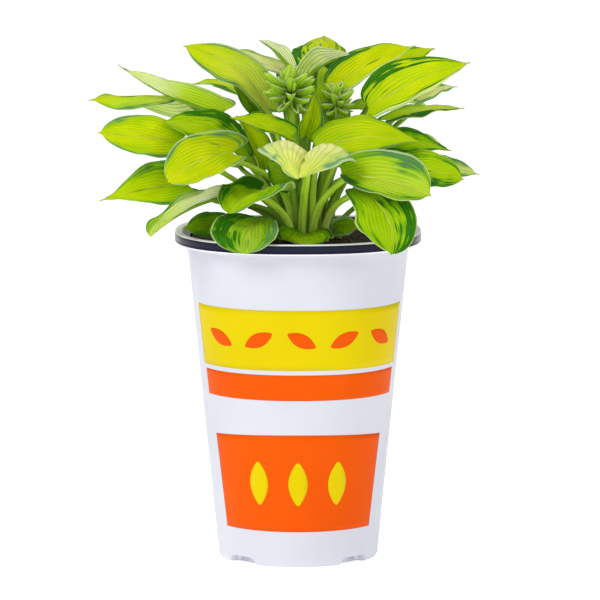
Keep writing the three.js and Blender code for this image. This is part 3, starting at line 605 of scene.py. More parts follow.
LEAVES = [
    # the front left, from the cupped leaf that faces the viewer down to the ones on the rim
    leaf(1, (-4, -21.5), (-42, -47, 272), (-83, -74, 257), (-0.3, -1, 0.4), rise=0.1, curl=8, fold=10,
         bend=-0.05, full=0.5, rising=0.6, neck=0.3, lobe=(0.28, 0.14), left=(1.1, 1, 1, 1),
         right=(0.95, 1.15, 1.05, 1), hem=((0.35, 0, 0), (0.4, 0.2, 0)), gold=0.9,
         edge=((0.12, 0.14, 0.06), (0.1, 0.07, 0.06)), bloom=(0.5, 0.8), trim=0.05, stalk_shade=0,
         shade=0.14),
    leaf(2, (-10, -10.5), (-32, -20, 266), (-85, -44, 292), (-0.1, -0.7, 1), width=42, rise=0.12, full=0.55,
         gold=0.35, edge=((0.6, 0.42, 0.34, 0.4), (0.1, 0.08)), bloom=0, jag=1, trim=0, stalk_shade=0.2,
         right=(0.8, 0.75, 0.9, 1), shade=0.1, left=(1, 1.1, 0.95, 0.68, 0.6)),
    leaf(3, (-7, -16), (-76, -40, 279), (-127, -62, 287), (0, -0.9, 0.6), width=31, rise=0.01, rising=0.22,
         neck=0.25, full=0.6, gold=0.75, edge=((0.06, 0.1, 0.2), (0.06, 0.08, 0.2)), bloom=0.6, cusp=0.05,
         stalk_shade=0.1),
    leaf(4, (-13.5, -16), (-72, -30, 250), (-126, -56, 243), (0, -0.8, 0.6), width=34, rise=0.05, full=1.4,
         left=(1, 1.15, 1.15, 1), rising=0.3, gold=0.6, edge=((0.3, 0.2, 0.12, 0.1), (0.04, 0.06)), bloom=0.4,
         jag=0.5, cusp=0.06),
    leaf(5, (-10.5, -21.5), (-52, -47, 244), (-95, -74, 221), (-0.55, -0.15, 0.8), width=30, fold=50,
         rise=0.06, full=0.45, left=(1, 0.8, 0.6, 0.9), gold=0.4, pale=(0.9, 0.1), edge=(0.1, 0.1),
         right=(1, 0.75, 0.6, 0.9), cusp=0),
    leaf(6, (-17, -21.5), (-43, -24, 221.5), (-73, -34, 221), (0, -0.8, 0.6), width=20, full=0.6, small=True,
         gold=0, shade=0.65, edge=(0.2, 0.25), bloom=0.4),
    leaf(7, (-14, -27.5), (-25, -48, 230), (-33, -84, 212), (-0.3, -0.6, 0.8), width=48, full=0.42, fold=8,
         rise=0.13, skew=-10, lean=-0.1, lobe=(0.4, 0), gold=0, shade=0.35,
         edge=((0.6, 0.5, 0.3), (0.14, 0.12)), bloom=(0, 0.8), jag=1, trim=0.05, pale=(0, 0.1),
         right=(0.75, 0.8, 0.9, 1), left=(1, 0.95, 1, 1)),
    leaf(8, (-4.5, -33), (-23, -46, 247), (-44, -72, 236), (-0.1, -0.45, 0.83), width=52, fold=18, skew=12,
         lean=0.25, lobe=0.32, hem=((0.5, 0, 0), 0), full=0.55, rise=0.12, thick=1.2, stalk_top=2, gold=0.2,
         shade=0.24, edge=((1, 0.2, 0.12), (0.15, 0.1, 0.12)), bloom=(0, 0.6), jag=0.5, trim=0.05,
         stalk_shade=0, cusp=0),
    # leaf 9's cream middle is partly painted reflection: the pale sheen of light on its upper faces.
    leaf(9, (2.5, -33), (7, -60, 272), (0, -98, 262), (0, -0.5, 1), width=62, fold=66, curl=-130, lobe=0.38,
         full=0.7, rise=0.1, upright=0.7, thick=1.2, stalk_top=2.2, gold=0.9, edge=(0.1, 0.1), bloom=0.95,
         jag=0.1, pale=(1, 0.3), trim=0.05, stalk_shade=0, left=(1.15, 1.1, 0.75, 0.6, 0.7),
         right=(1.15, 1.15, 0.8, 0.65, 0.7)),
    # the front right
    leaf(10, (9.5, -20.5), (12, -26, 273), (77, -38, 279), (0, -0.7, 0.8), width=38, rise=0.1, lobe=0.1,
         trim=0, gold=0.6, edge=((0.08, 0.12, 0.06), 0.03), bloom=(0.3, 0), stalk_shade=0.1),
    leaf(11, (20.5, -15.5), (50, -12, 276), (98, -18, 271), (0, -0.6, 0.8), width=25, rise=0.05, gold=0.1,
         shade=0.1, edge=(0.4, (0.5, 0.4)), bloom=0.1, jag=0.6, cusp=0.05),
    leaf(12, (9.5, -33), (28, -58, 260), (83, -84, 250), (0.1, -0.9, 0.6), width=35, lean=0.25, full=0.38,
         thick=1.2, stalk_top=2.2, gold=0.3, edge=((0.5, 0.14, 0.08), (0.1, 0.12, 0.3, 0.3)),
         bloom=(0.1, 0.4), jag=0.5, pale=(0, 0.1), trim=0.06, cusp=0.05, stalk_shade=0, shade=0.14,
         lobe=(0, 0.14), left=(0.85, 1, 1, 1)),
    leaf(13, (17, -21.5), (64, -30, 260), (106, -42, 255), (0.2, -0.8, 0.5), width=28, full=0.6, gold=0.3,
         edge=((0.2, 0.45, 0.3), (0.04, 0.06)), bloom=0.1, jag=0.8, cusp=0.05, shade=0.16),
    leaf(14, (26, -3.5), (85, 6, 257), (118, 8, 252), (0.2, -0.8, 0.6), width=17, small=True, rising=0.25,
         gold=0.3, edge=((0.4, 0.2), (0.5, 0.2)), bloom=0.7, cusp=0.05, pale=0.6),
    leaf(15, (17.5, -28.5), (35, -62, 251), (60, -98, 214), (0.3, -0.9, 0.5), width=38, fold=10, rise=0.1,
         bend=0.14, full=0.45, lobe=0.06, left=(0.9, 1, 1.3, 1.3), stalk_top=2.1, gold=0.15,
         edge=((0.06, 0.05), (0.4, 0.5, 0.75)), bloom=0, jag=1, trim=0.04, stalk_shade=0, pale_foot=0.9,
         shade=0.22),
    leaf(16, (26.5, -18), (24.5, -25, 219.5), (41, -26, 222.5), (0, -0.9, 0.5), width=16, fold=25, small=True,
         gold=0, shade=0.5, edge=(0.2, 0.2), bloom=0.5, trim=0.3),
    leaf(17, (6.5, -40), (4, -44, 219), (5, -67, 214.5), (0, -0.35, 1), width=38, fold=9, skew=-3, curl=-10,
         rise=0.04, lobe=(0.5, 0.35), hem=((0.3, 0, 0), (0.15, 0, 0)), full=0.7, small=True, gold=0.1,
         shade=0.3, edge=(0.05, 0.05), bloom=0),
    # the upper left and the top
    leaf(18, (-3.5, -9.5), (-19, 0, 296), (-73, -20, 339), (-0.5, -0.7, 0.6), width=24, fold=16, rise=0.05,
         full=0.75, bend=-0.1, right=(0.8, 0.8, 1.5, 2.2), lean=-0.1, gold=0.85,
         edge=((0.12, 0.14, 0.1), (0.05, 0.1, 0.14)), bloom=0.6, trim=(0.1, 0.04), pale=(0.25, 0),
         stalk_shade=0.2, left=(1, 1.05, 0.95, 0.8)),
    leaf(19, (-4.5, -3), (-10, 14, 320), (-54, 8, 335), (0, -0.6, 1), width=17, rise=0, upright=0.7, gold=0.3,
         edge=(0.04, 0.04), pale=(1, 0.8)),
    leaf(20, (-16.5, -3), (-48, -8, 295), (-115, 0, 323), (0.2, 0.2, 1), width=30, fold=50, rise=-0.06,
         pale=(0, 0, 0.6, 0.4), cusp=0.05),
    leaf(21, (-16, 3.5), (-70, 16, 301), (-136, 8, 301), (0, 0.4, 1), width=38, twist=-95, rise=0.04,
         gold=0.7, edge=(0.14, 0.14), bloom=0.5, pale=(0.6, 0.1, 0), fold=-23, left=(1.15, 1.08, 1, 1),
         skew=-3, right=(1, 1, 0.95, 1)),
    leaf(22, (3, -22), (-4, -32, 281), (-43, -44, 295), (0, -0.6, 1), width=24, fold=24, rise=0.02,
         edge=((0.16, 0.14, 0.1), (0.2, 0.1)), bloom=0, jag=0.4, trim=0),
    leaf(23, (4, 7), (12, 30, 325), (18, 70, 337), (0, -0.5, 1), width=42, fold=-18, full=0.8, gold=0.7,
         edge=((0.36, 0.3), (0.4, 0.3)), bloom=0, jag=0.6),
    leaf(24, (3, 0.5), (4, 10, 315), (33, 18, 330), (0, 0.7, 1), width=30, fold=30, small=True, upright=0.7,
         pale=(0.3, 0.9)),
    leaf(25, (1.5, -5.5), (-5, 6, 323), (-25, 12, 340), (0.2, 0.8, 0.7), width=14, fold=30, small=True,
         pale=(0.6, 1)),
    leaf(26, (7.5, -5.5), (22, 14, 308), (76, 22, 335), (-0.2, -0.8, 0.8), width=28, fold=22, lobe=0.08,
         trim=(0.14, 0.02), gold=1, edge=((0.06, 0.03), (0.25, 0.04)), bloom=0.1),
    leaf(27, (12.5, -10.5), (46, -14, 298), (110, -20, 328), (-0.1, -0.8, 0.7), width=38, fold=24, lobe=0.06,
         trim=(0.16, 0), gold=0.8, edge=((0.05, 0.04), (0.4, 0.36, 0.26, 0.1)), bloom=0, jag=1, cusp=0.04,
         stalk_shade=0.1, left=(1, 1, 1.15, 1.5)),
    # the upper right
    leaf(28, (16.5, 5.5), (62, 34, 319), (90, 44, 331), (0, -0.6, 0.9), width=18, small=True, gold=0.6),
    leaf(29, (20, -1), (79, 32, 298), (105, 44, 306), (0, -0.4, 0.9), width=14, small=True, gold=0.3,
         edge=(0.3, 0.3), bloom=0.9, pale=(0.8, 1)),
    leaf(30, (19, -8), (58, 12, 287), (107, 22, 294), (0, -0.2, 1), width=24, fold=10, rise=0.04, gold=0.6,
         shade=0.1, edge=((1, 0.8, 0.3), 0.1), bloom=0.1, cusp=0.06, pale=(0, 0.3)),
    leaf(31, (10, 4.5), (22, 14, 282), (14, 14, 312), (0, -1, 0.3), width=30, small=True, gold=0.3,
         shade=0.3),
    leaf(32, (-10.5, -4), (-22, 0, 256), (-40, 8, 290), (0.6, -0.6, 0.3), width=22, fold=25),
    leaf(33, (-1, -27.5), (-4, -30, 250), (-20, -28, 265), (0, -1, 0.3), width=20, small=True, shade=0.7,
         gold=0, bloom=0, trim=0),
    leaf(34, (5.5, -12.5), (5, -12, 280), (11, -14, 308), (0.3, -1, 0.1), width=20, fold=40, small=True),
    leaf(35, (-10, 2.5), (-28, 14, 293), (-43, 10, 312), (0, -1, 0.4), width=14, fold=40, small=True,
         shade=0.6, gold=0.1),
    # the far side of the clump
    leaf(36, (-8, 13.5), (-36, 54, 252), (-68, 92, 240), (-0.2, 0.4, 1), edge=((0.2, 0.3), 0.16), jag=0.7),
    leaf(37, (4, 20), (36, 58, 250), (68, 96, 238), (0.2, 0.4, 1), edge=(0.12, (0.3, 0.24)), gold=0.4),
    leaf(38, (-1, 15), (-6, 52, 288), (-8, 104, 285), (0, 0.2, 1), width=40, edge=((0.2, 0.3), 0.2),
         gold=0.6),
    leaf(39, (-13, 9), (-45, 34, 280), (-94, 62, 272), (-0.2, 0.2, 1), edge=((0.3, 0.16), 0.12), jag=0.8),
    leaf(40, (19, 11.5), (52, 40, 272), (98, 70, 262), (0.2, 0.2, 1), width=30, edge=(0.2, (0.4, 0.3)),
         gold=0.3, shade=0.1, jag=0.6),
    leaf(41, (-3.5, 8), (-26, 50, 296), (-72, 86, 303), (-0.2, 0.1, 1), width=34, edge=(0.12, (0.3, 0.2)),
         gold=0.7, jag=0.7),
    leaf(42, (5.5, 13.5), (20, 56, 304), (30, 100, 313), (0.1, 0.1, 1), width=34, edge=((0.3, 0.2), 0.12)),
    leaf(43, (12, 11), (42, 52, 290), (86, 90, 288), (0.2, 0.2, 1), width=32, edge=(0.14, (0.3, 0.24)),
         jag=0.8),
]

# Flower heads: a stem with whorls of pointed bracts round a ribbed bud. A whorl is its number of bracts,
# where the first one points and how far they climb, in degrees, then their length, their width and their
# height from the head's centre, in millimetres.
# A bract's shade runs from 1.1 at the base to none at the tip: painted shade deep in the head.
BRACT = dict(
    USUAL, rise=-0.16, fold=42, curl=40, wave=0, full=0.7, lobe=0, ripple=0.8, flutter=0.3,
    gold=0.1, edge=(0, 0), bloom=0, jag=0, trim=0.2, shade=(1.1, 0.5, 0),
)
SCAPE_RINGS, SCAPE_SIDES = 26, 16
BUD_RINGS, BUD_SIDES = 22, 30
BUD_HEIGHTS = (0, 0.1, 0.25, 0.45, 0.65, 0.82, 0.94, 1)
BUD_GIRTHS = (0.8, 1.2, 1.5, 1.55, 1.3, 0.85, 0.4, 0.08)
HEADS = [
    SimpleNamespace(
        name="flower_head_main", centre=(-5, -22, 312), root=(-0.5, -15.5), core=3.2, bud=17, seed=12,
        whorls=[(7, 10, 34, 23, 12, -2), (6, 35, 12, 20, 13, -5)],
        tucked=[(5, 66, 56, 15, 9, 0), (7, 22, 22, 20, 9, -3), (6, 12, -4, 18, 10, -6),
                (5, 8, -26, 14, 9, -8), (2, 80, 72, 13, 9, -19)],
    ),
    SimpleNamespace(
        name="flower_head_side", centre=(25, -5, 302), root=(13.5, -4), core=2.6, bud=13, seed=5,
        whorls=[(6, 20, 32, 17, 10, -2), (5, 50, 54, 13, 8, 1)],
        tucked=[(6, 50, 8, 15, 9, -3), (5, 24, -12, 13, 8, -5), (2, 80, 70, 12, 8, -16)],
    ),
]


def add_bract(shape, name, head, sizes, azimuth, climb, length, width, z):
    out = row(math.cos(azimuth), math.sin(azimuth), 0)
    along = out * math.cos(climb) + UP * math.sin(climb)
    face = UP * math.cos(climb) - out * math.sin(climb)
    base = row(*head.centre) + UP * z - out * 0.1 * length
    own = dict(name=name, base=base, tip=base + along * length, face=face, width=width)
    bract = SimpleNamespace(**{**BRACT, **own})
    add_blade(shape, bract, blade_frame(bract), sizes, rows=14, veins=2)


def add_whorls(shape, head, sizes, whorls, seed, label):
    draw = counter(seed)
    for w, (count, turn, climb, length, width, z) in enumerate(whorls):
        for k in range(count):
            azimuth = math.radians(turn + 360 * k / count + 14 * (draw() - 0.5))
            lift = math.radians(climb + 12 * (draw() - 0.5))
            reach = length * (0.88 + 0.24 * draw())
            height = z + 3 * (draw() - 0.5)
            add_bract(shape, f"{label}_{w}_{k}", head, sizes, azimuth, lift, reach, width, height)


def add_scape(shape, head):
    """The head's stem and its ribbed bud."""
    ground, sunk, level = stalk_root(head.root)
    centre = row(*head.centre)
    tall = centre[2] - level[2]
    f = np.linspace(0, 1, SCAPE_RINGS)
    stem = bezier((level, level + UP * tall * 0.4, centre - UP * tall * 0.3, centre), f[:, None])
    path = np.concatenate([[sunk], stem])
    radii = STALK_FOOT + (head.core - STALK_FOOT) * np.concatenate([[0], f])
    reference = np.repeat(row(1, 0, 0)[None], len(path), 0)
    height = np.repeat(path[:, 2] - ground, SCAPE_SIDES)
    foot = 0.3 * (1 - smooth(height, 2, 34))
    rings = tube_rings(path, radii, reference, SCAPE_SIDES)
    # The stem gets painted shade, half way to the shadow green.
    add_tube(shape, rings, STALK_SLOT, foot=foot, shade=0.5, grain=3.0)
    heights = np.linspace(0, 1, BUD_RINGS)[:, None]
    angle = round_steps(BUD_SIDES)
    ribs = 1 + 0.2 * np.cos(5 * angle) + 0.06 * np.cos(10 * angle + 1)
    reach = head.core * np.interp(heights, BUD_HEIGHTS, BUD_GIRTHS) * ribs
    twist = angle + 0.7 * heights
    rise = np.broadcast_to(heights * head.bud - 1, reach.shape)
    rings = centre + np.stack([np.cos(twist) * reach, np.sin(twist) * reach, rise], -1)
    rib = np.tile(5 * angle / (2 * np.pi) + 0.5, BUD_RINGS)
    add_tube(shape, rings, BLADE_SLOT, vein=rib, rim=-1, trim=-1, reach=1, gold=0, pale=0.15, grain=9.0)


# Materials. These tones go with the colours above and have no setting of their own.

MIDRIB = srgb(214, 226, 90)
# Fine light streaks along a leaf's veins: partly its own streaks and partly painted highlight.
STREAK_HIGHLIGHT = srgb(214, 222, 16)
# The green that painted shade darkens a leaf toward.
LEAF_SHADOW = srgb(36, 92, 6)
UNDER_LINE = srgb(98, 150, 26)
BRACT_UNDER = srgb(168, 210, 50)
BRACT_LINE = srgb(70, 128, 6)
STALK_GREEN = srgb(146, 196, 22)
STALK_LIGHT = srgb(208, 226, 110)
# The green that painted shade darkens a stalk toward.
STALK_SHADOW = srgb(48, 106, 4)
WET_PEAT = srgb(26, 18, 22)
CRUMB = srgb(96, 62, 48)
BARK_DARK = srgb(58, 36, 34)
BARK_LIGHT = srgb(176, 128, 96)
BARK_PORE = srgb(38, 24, 24)
SHELL_SHADOW = srgb(192, 195, 206)
LINING_SHADOW = srgb(18, 20, 38)
# Painted highlight along the pot rim's edges, and its dimmer tone.
EDGE_HIGHLIGHT = srgb(244, 238, 250)
EDGE_HIGHLIGHT_DIM = srgb(222, 218, 234)
SUN_SHADOW = srgb(206, 184, 2)
ORANGE_SHADOW = srgb(216, 78, 2)


class Paint:
    """A material in the making, with short calls for the nodes that it needs."""

    def __init__(self, name):
        self.material = bpy.data.materials.new(name)
        self.material.use_nodes = True
        self.tree = self.material.node_tree
        self.surface = self.tree.nodes["Principled BSDF"]

    def feed(self, socket, value):
        """Links another node's output to a socket or sets it to a value, a colour with its fourth number."""
        if isinstance(value, bpy.types.NodeSocket):
            self.tree.links.new(value, socket)
        else:
            socket.default_value = (*value, 1.0) if socket.type == "RGBA" else value

    def node(self, kind, inputs, **settings):
        made = self.tree.nodes.new(kind)
        for key, value in settings.items():
            setattr(made, key, value)
        for key, value in inputs.items():
            self.feed(made.inputs[key], value)
        return made

    def field(self, name):
        return self.node("ShaderNodeAttribute", {}, attribute_name=name).outputs["Fac"]

    def times(self, value, factor, plus=0.0):
        inputs = {0: value, 1: factor, 2: plus}
        return self.node("ShaderNodeMath", inputs, operation="MULTIPLY_ADD").outputs[0]

    def between(self, value, low, high, to_low=0.0, to_high=1.0):
        spans = {"Value": value, "From Min": low, "From Max": high, "To Min": to_low, "To Max": to_high}
        return self.node("ShaderNodeMapRange", spans, interpolation_type="SMOOTHSTEP").outputs["Result"]

    def noise(self, vector, scale, detail=2.0, roughness=0.5):
        inputs = {"Vector": vector, "Scale": scale, "Detail": detail, "Roughness": roughness}
        return self.node("ShaderNodeTexNoise", inputs).outputs["Fac"]

    def blend(self, share, first, second):
        return self.node("ShaderNodeMix", {0: share, 6: first, 7: second}, data_type="RGBA").outputs[2]

    def own_place(self):
        """The two places on the piece's own map: X along it and Y across."""
        place = self.node("ShaderNodeUVMap", {}, uv_map="along").outputs["UV"]
        return self.node("ShaderNodeSeparateXYZ", {"Vector": place}).outputs

    def streaks(self, along, across, detail=2.0):
        """Noise on the piece's own map, at one scale along it and one across, shifted by its grain number."""
        own, grain = self.own_place(), self.field("grain")
        inputs = {"X": self.times(own["X"], along, grain), "Y": self.times(own["Y"], across), "Z": grain}
        place = self.node("ShaderNodeCombineXYZ", inputs).outputs["Vector"]
        return self.noise(place, 1.0, detail)

    def object_place(self):
        return self.node("ShaderNodeTexCoord", {}).outputs["Object"]

    def set(self, **sockets):
        for key, value in sockets.items():
            self.feed(self.surface.inputs[key.replace("_", " ")], value)

    def relief(self, height, strength, distance):
        bump = self.node("ShaderNodeBump", {"Height": height, "Strength": strength, "Distance": distance})
        self.set(Normal=bump.outputs["Normal"])


def leaf_tissue(name, colours, under, under_line, line_share=0.55):
    """Variegated blade: a yellow to lime middle, and a margin whose inner edge runs into it in teeth."""
    paint = Paint(name)
    streak = paint.streaks(2.4, 18.0)
    fine = paint.streaks(5.0, 80.0, 3.0)
    cloud = paint.streaks(3.0, 2.5, 1.0)
    rim, gold, pale = paint.field("rim"), paint.field("gold"), paint.field("pale")
    waves = {0: paint.field("vein"), 1: 0.5}
    ridge = paint.node("ShaderNodeMath", waves, operation="PINGPONG").outputs[0]
    groove = paint.between(ridge, 0.0, 0.2, 1.0, 0.0)
    teeth = paint.between(streak, 0.36, 0.66, -0.5, 0.5)
    ragged = paint.times(teeth, paint.times(paint.field("jag"), 0.5, 0.08), rim)
    halo = paint.times(gold, -0.7, 0.95)
    inside = paint.times(paint.between(ragged, -0.4, 0.02), halo)
    margin = paint.between(ragged, -0.05, 0.03)
    middle = paint.blend(gold, colours.lime, colours.gold)
    washed = paint.blend(paint.between(cloud, 0.35, 0.75, 0.0, 0.5), middle, colours.lime)
    near = paint.between(paint.own_place()["X"], 0.0, 0.5, 0.6, 0.0)
    rooted = paint.blend(paint.times(near, halo), washed, colours.green)
    # Cream where pale says; on leaf 9 partly painted reflection of the light on its upper faces.
    creamy = paint.blend(paint.times(pale, 0.8), rooted, colours.cream)
    veined = paint.blend(paint.times(groove, 0.3), creamy, colours.green)
    midrib = paint.between(paint.field("reach"), 0.01, 0.05, 0.5, 0.0)
    veined = paint.blend(midrib, veined, MIDRIB)
    # Fine light streaks: partly the leaf's own and partly painted highlight.
    combed = paint.blend(paint.between(fine, 0.4, 0.8, 0.0, 0.2), veined, STREAK_HIGHLIGHT)
    haloed = paint.blend(inside, combed, colours.green)
    dark = paint.blend(paint.between(fine, 0.3, 0.75, 0.0, 0.4), colours.deep, colours.green)
    border = paint.blend(paint.field("bloom"), dark, colours.bloom)
    upper = paint.blend(margin, haloed, border)
    line = paint.between(paint.field("trim"), -0.01, 0.02, 0.0, line_share)
    edged = paint.blend(line, upper, colours.edge)
    below = paint.blend(pale, under, colours.white_under)
    below = paint.blend(paint.times(groove, 0.75), below, under_line)
    below = paint.blend(paint.times(margin, 0.4), below, colours.bloom)
    below = paint.blend(paint.times(line, 0.9), below, colours.edge)
    both = paint.blend(paint.field("under"), edged, below)
    # Painted shade: the shade field darkens the blade toward a shadow green.
    colour = paint.blend(paint.times(paint.field("shade"), 0.75), both, LEAF_SHADOW)
    paint.set(Base_Color=colour, Roughness=paint.between(fine, 0.2, 0.8, 0.36, 0.52))
    paint.set(Specular_IOR_Level=0.06, Subsurface_Weight=0.4, Subsurface_Scale=0.003)
    paint.set(Subsurface_Radius=(0.7, 1.0, 0.15))
    paint.relief(paint.times(groove, -1.2, fine), 0.35, 0.0004)
    return paint.material


def leaf_stalk(colours):
    """Stalk: green, striped along its length, pale at the foot, with painted shade from its shade field."""
    paint = Paint("leaf stalk")
    stripe = paint.streaks(2.0, 18.0)
    fine = paint.streaks(6.0, 60.0)
    green = paint.blend(paint.between(stripe, 0.4, 0.7), colours.stalk, STALK_GREEN)
    light = paint.blend(paint.between(fine, 0.5, 0.8, 0.0, 0.4), green, STALK_LIGHT)
    # Painted shade: the shade field darkens the stalk toward a shadow green.
    shaded = paint.blend(paint.field("shade"), light, STALK_SHADOW)
    foot = paint.times(paint.field("foot"), paint.between(stripe, 0.2, 0.7, 1.0, 0.6))
    colour = paint.blend(foot, shaded, colours.stalk_foot)
    paint.set(Base_Color=colour, Roughness=paint.between(fine, 0.2, 0.8, 0.34, 0.46), Specular_IOR_Level=0.15)
    paint.set(Subsurface_Weight=0.15, Subsurface_Scale=0.003, Subsurface_Radius=(0.7, 1.0, 0.2))
    paint.relief(stripe, 0.3, 0.0005)
    return paint.material


def peat(colours):
    """Damp potting mix: dark, with lighter crumbs."""
    paint = Paint("potting mix")
    place = paint.object_place()
    crumb = paint.noise(place, 420.0, 5.0, 0.7)
    patch = paint.noise(place, 60.0, 3.0)
    colour = paint.blend(paint.between(patch, 0.3, 0.7), colours.mix, WET_PEAT)
    colour = paint.blend(paint.between(crumb, 0.52, 0.72), colour, CRUMB)
    paint.set(Base_Color=colour, Roughness=paint.between(crumb, 0.3, 0.7, 0.75, 0.98))
    paint.relief(crumb, 0.8, 0.0016)
    return paint.material


def bark_chip(colours):
    """Bark: each chip has a tone of its own, with dark pores."""
    paint = Paint("bark chips")
    grain = paint.noise(paint.object_place(), 700.0, 4.0, 0.6)
    tone = paint.field("tone")
    colour = paint.blend(tone, BARK_DARK, colours.bark)
    colour = paint.blend(paint.between(tone, 0.85, 1.0, 0.0, 0.5), colour, BARK_LIGHT)
    colour = paint.blend(paint.between(grain, 0.4, 0.7, 0.0, 0.6), colour, BARK_PORE)
    paint.set(Base_Color=colour, Roughness=paint.between(grain, 0.3, 0.7, 0.6, 0.9))
    paint.relief(grain, 0.6, 0.0008)
    return paint.material


def moulded_plastic(name, colour, shadow, low, high, shine=0.4):
    """Moulded plastic: a slow drift of tone, orange peel and rubs. Its roughness goes from low to high."""
    paint = Paint(name)
    place = paint.object_place()
    drift = paint.noise(place, 14.0, 3.0)
    rub = paint.noise(place, 90.0, 4.0, 0.65)
    peel = paint.noise(place, 900.0, 2.0)
    tone = paint.blend(paint.between(drift, 0.3, 0.75, 0.0, 0.7), colour, shadow)
    scuffed = paint.blend(paint.between(rub, 0.62, 0.8, 0.0, 0.25), tone, shadow)
    paint.set(Base_Color=scuffed, Roughness=paint.between(rub, 0.3, 0.75, low, high))
    paint.set(Specular_IOR_Level=shine)
    paint.relief(peel, 0.12, 0.0003)
    return paint.material


# The stage, in metres.

FLOOR_REACH = 30
LAMP_TARGET = (0, 0, 0.2)


def aim(thing, place, target):
    """Puts a lamp or a camera in its place and turns it to look at the target."""
    thing.location = place
    thing.rotation_mode = "QUATERNION"
    thing.rotation_quaternion = (Vector(target) - thing.location).to_track_quat("-Z", "Y")
    bpy.context.scene.collection.objects.link(thing)


class HostaMakeStage(bpy.types.Operator):
    """Lay the floor, hang the lamps and set the camera at the photograph's viewing angle"""

    bl_idname = "hosta.make_stage"
    bl_label = "Stage"

    def execute(self, context):
        stage = context.scene.hosta_stage
        mesh = bpy.data.meshes.new("floor")
        corners = [(FLOOR_REACH * x, FLOOR_REACH * y, 0) for x, y in ((-1, -1), (1, -1), (1, 1), (-1, 1))]
        mesh.from_pydata(corners, [], [(0, 1, 2, 3)])
        paint = Paint("pale floor")
        paint.set(Base_Color=stage.floor, Roughness=0.6, Emission_Color=stage.floor)
        paint.set(Emission_Strength=stage.floor_glow)
        mesh.materials.append(paint.material)
        floor = bpy.data.objects.new("floor", mesh)
        context.scene.collection.objects.link(floor)
        world = bpy.data.worlds.new("soft sky")
        world.use_nodes = True
        background = world.node_tree.nodes["Background"]
        background.inputs["Color"].default_value = (1, 1, 1, 1)
        background.inputs["Strength"].default_value = stage.sky
        context.scene.world = world
        self.lamp("key lamp", (-1.5, -1.6, 1.9), 1.3, stage.key)
        self.lamp("fill lamp", (1.7, -1.2, 1.1), 1.5, stage.fill)
        context.scene.camera = self.camera(stage)
        context.scene.view_settings.view_transform = "Standard"
        return {"FINISHED"}

    def lamp(self, name, place, side, power):
        light = bpy.data.lights.new(name, "AREA")
        light.size = side
        light.energy = power
        aim(bpy.data.objects.new(name, light), place, LAMP_TARGET)

    def camera(self, stage):
        data = bpy.data.cameras.new("camera")
        data.sensor_width = 36
        data.lens = PHOTO_FOCUS * data.sensor_width / PHOTO_SIDE
        data.clip_end = 200
        camera = bpy.data.objects.new("camera", data)
        aim(camera, (0, -stage.distance, stage.camera_height), LOOK_AT)
        return camera


# The pot.

# The third finish is painted highlight along the rim's edges.
PALE, DARK, HIGHLIGHT = 0, 1, 2
WALL_START = 1.8
WALL_SETBACK = 0.4
COLLAR_RAMP = 6
NOTCHES = (45, 135, 225, 315)
DRAIN_TURNS = (-6.5, 6.5)
POT_AROUND = 168
SHARP_FROM = 38


def wall_radius(sizes, z):
    """Outside of the wall at a height between its foot and the collar."""
    foot, high = sizes.foot_radius / MM, sizes.top_radius / MM - WALL_SETBACK
    return foot + (high - foot) * (z - WALL_START) / (sizes.collar_foot / MM - COLLAR_RAMP - WALL_START)


def pot_profile(sizes):
    """The pot's turned section from the middle of the underside, up outside, over the rim and down inside.

    Each line holds the radius, the height, and which finish shows from there on.
    """
    top = sizes.height / MM
    foot = sizes.foot_radius / MM
    high = sizes.top_radius / MM
    collar = sizes.collar_radius / MM
    rim = sizes.rim_radius / MM
    band = top - sizes.rim_face / MM
    wall = sizes.wall / MM
    start = sizes.collar_foot / MM
    ramp = start - COLLAR_RAMP
    lines = []

    def add(finish, *places):
        lines.extend((radius, z, finish) for radius, z in places)

    def inner(z):
        return foot - wall + (high - foot) * z / start

    add(PALE, (0, 0), (20, 0), (40, 0), (foot - 6, 0))
    add(PALE, (foot - 1.8, 0), (foot - 0.7, 0.35), (foot, WALL_START))
    for z in np.linspace(WALL_START + 0.06 * (ramp - WALL_START), ramp, 17):
        add(PALE, (wall_radius(sizes, z), z))
    before = wall_radius(sizes, ramp)
    for share in (0.25, 0.5, 0.75, 1):
        bulge = float(smooth(share, 0, 1))
        add(PALE, (before + (collar - 0.8 - before) * bulge, ramp + 10 * share))
    add(PALE, (collar, top - 10), (collar + 0.5, top - 9.1), (rim - 2.6, top - 8.2), (rim - 1.2, top - 7.6))
    # Painted highlight: a light strip under the rim's band.
    add(HIGHLIGHT, (rim - 0.5, top - 6.9))
    add(DARK, (rim - 0.1, band - 0.5), (rim, band), (rim - 0.25, band + 0.9), (rim - 0.25, band + 1.3))
    add(DARK, (rim, band + 2), (rim, top - 1.2))
    # Painted highlight over the top edge of the rim.
    add(HIGHLIGHT, (rim - 0.12, top - 0.6), (rim - 0.5, top - 0.15), (rim - 1.2, top), (rim - 4.4, top))
    add(DARK, (rim - 5.2, top - 0.5), (rim - 6.4, top - 2.2), (collar - wall, top - 4))
    add(DARK, (collar - wall - 0.6, start + 2), (inner(ramp), start - 5))
    for share in (0.75, 0.5, 0.25):
        add(DARK, (inner(start * share), start * share))
    add(DARK, (inner(BAY_CEILING), BAY_CEILING), (BAY_INNER + 0.6, BAY_CEILING))
    add(DARK, (BAY_INNER - 1.4, FLOOR_TOP), (20, FLOOR_TOP), (0, FLOOR_TOP))
    return lines


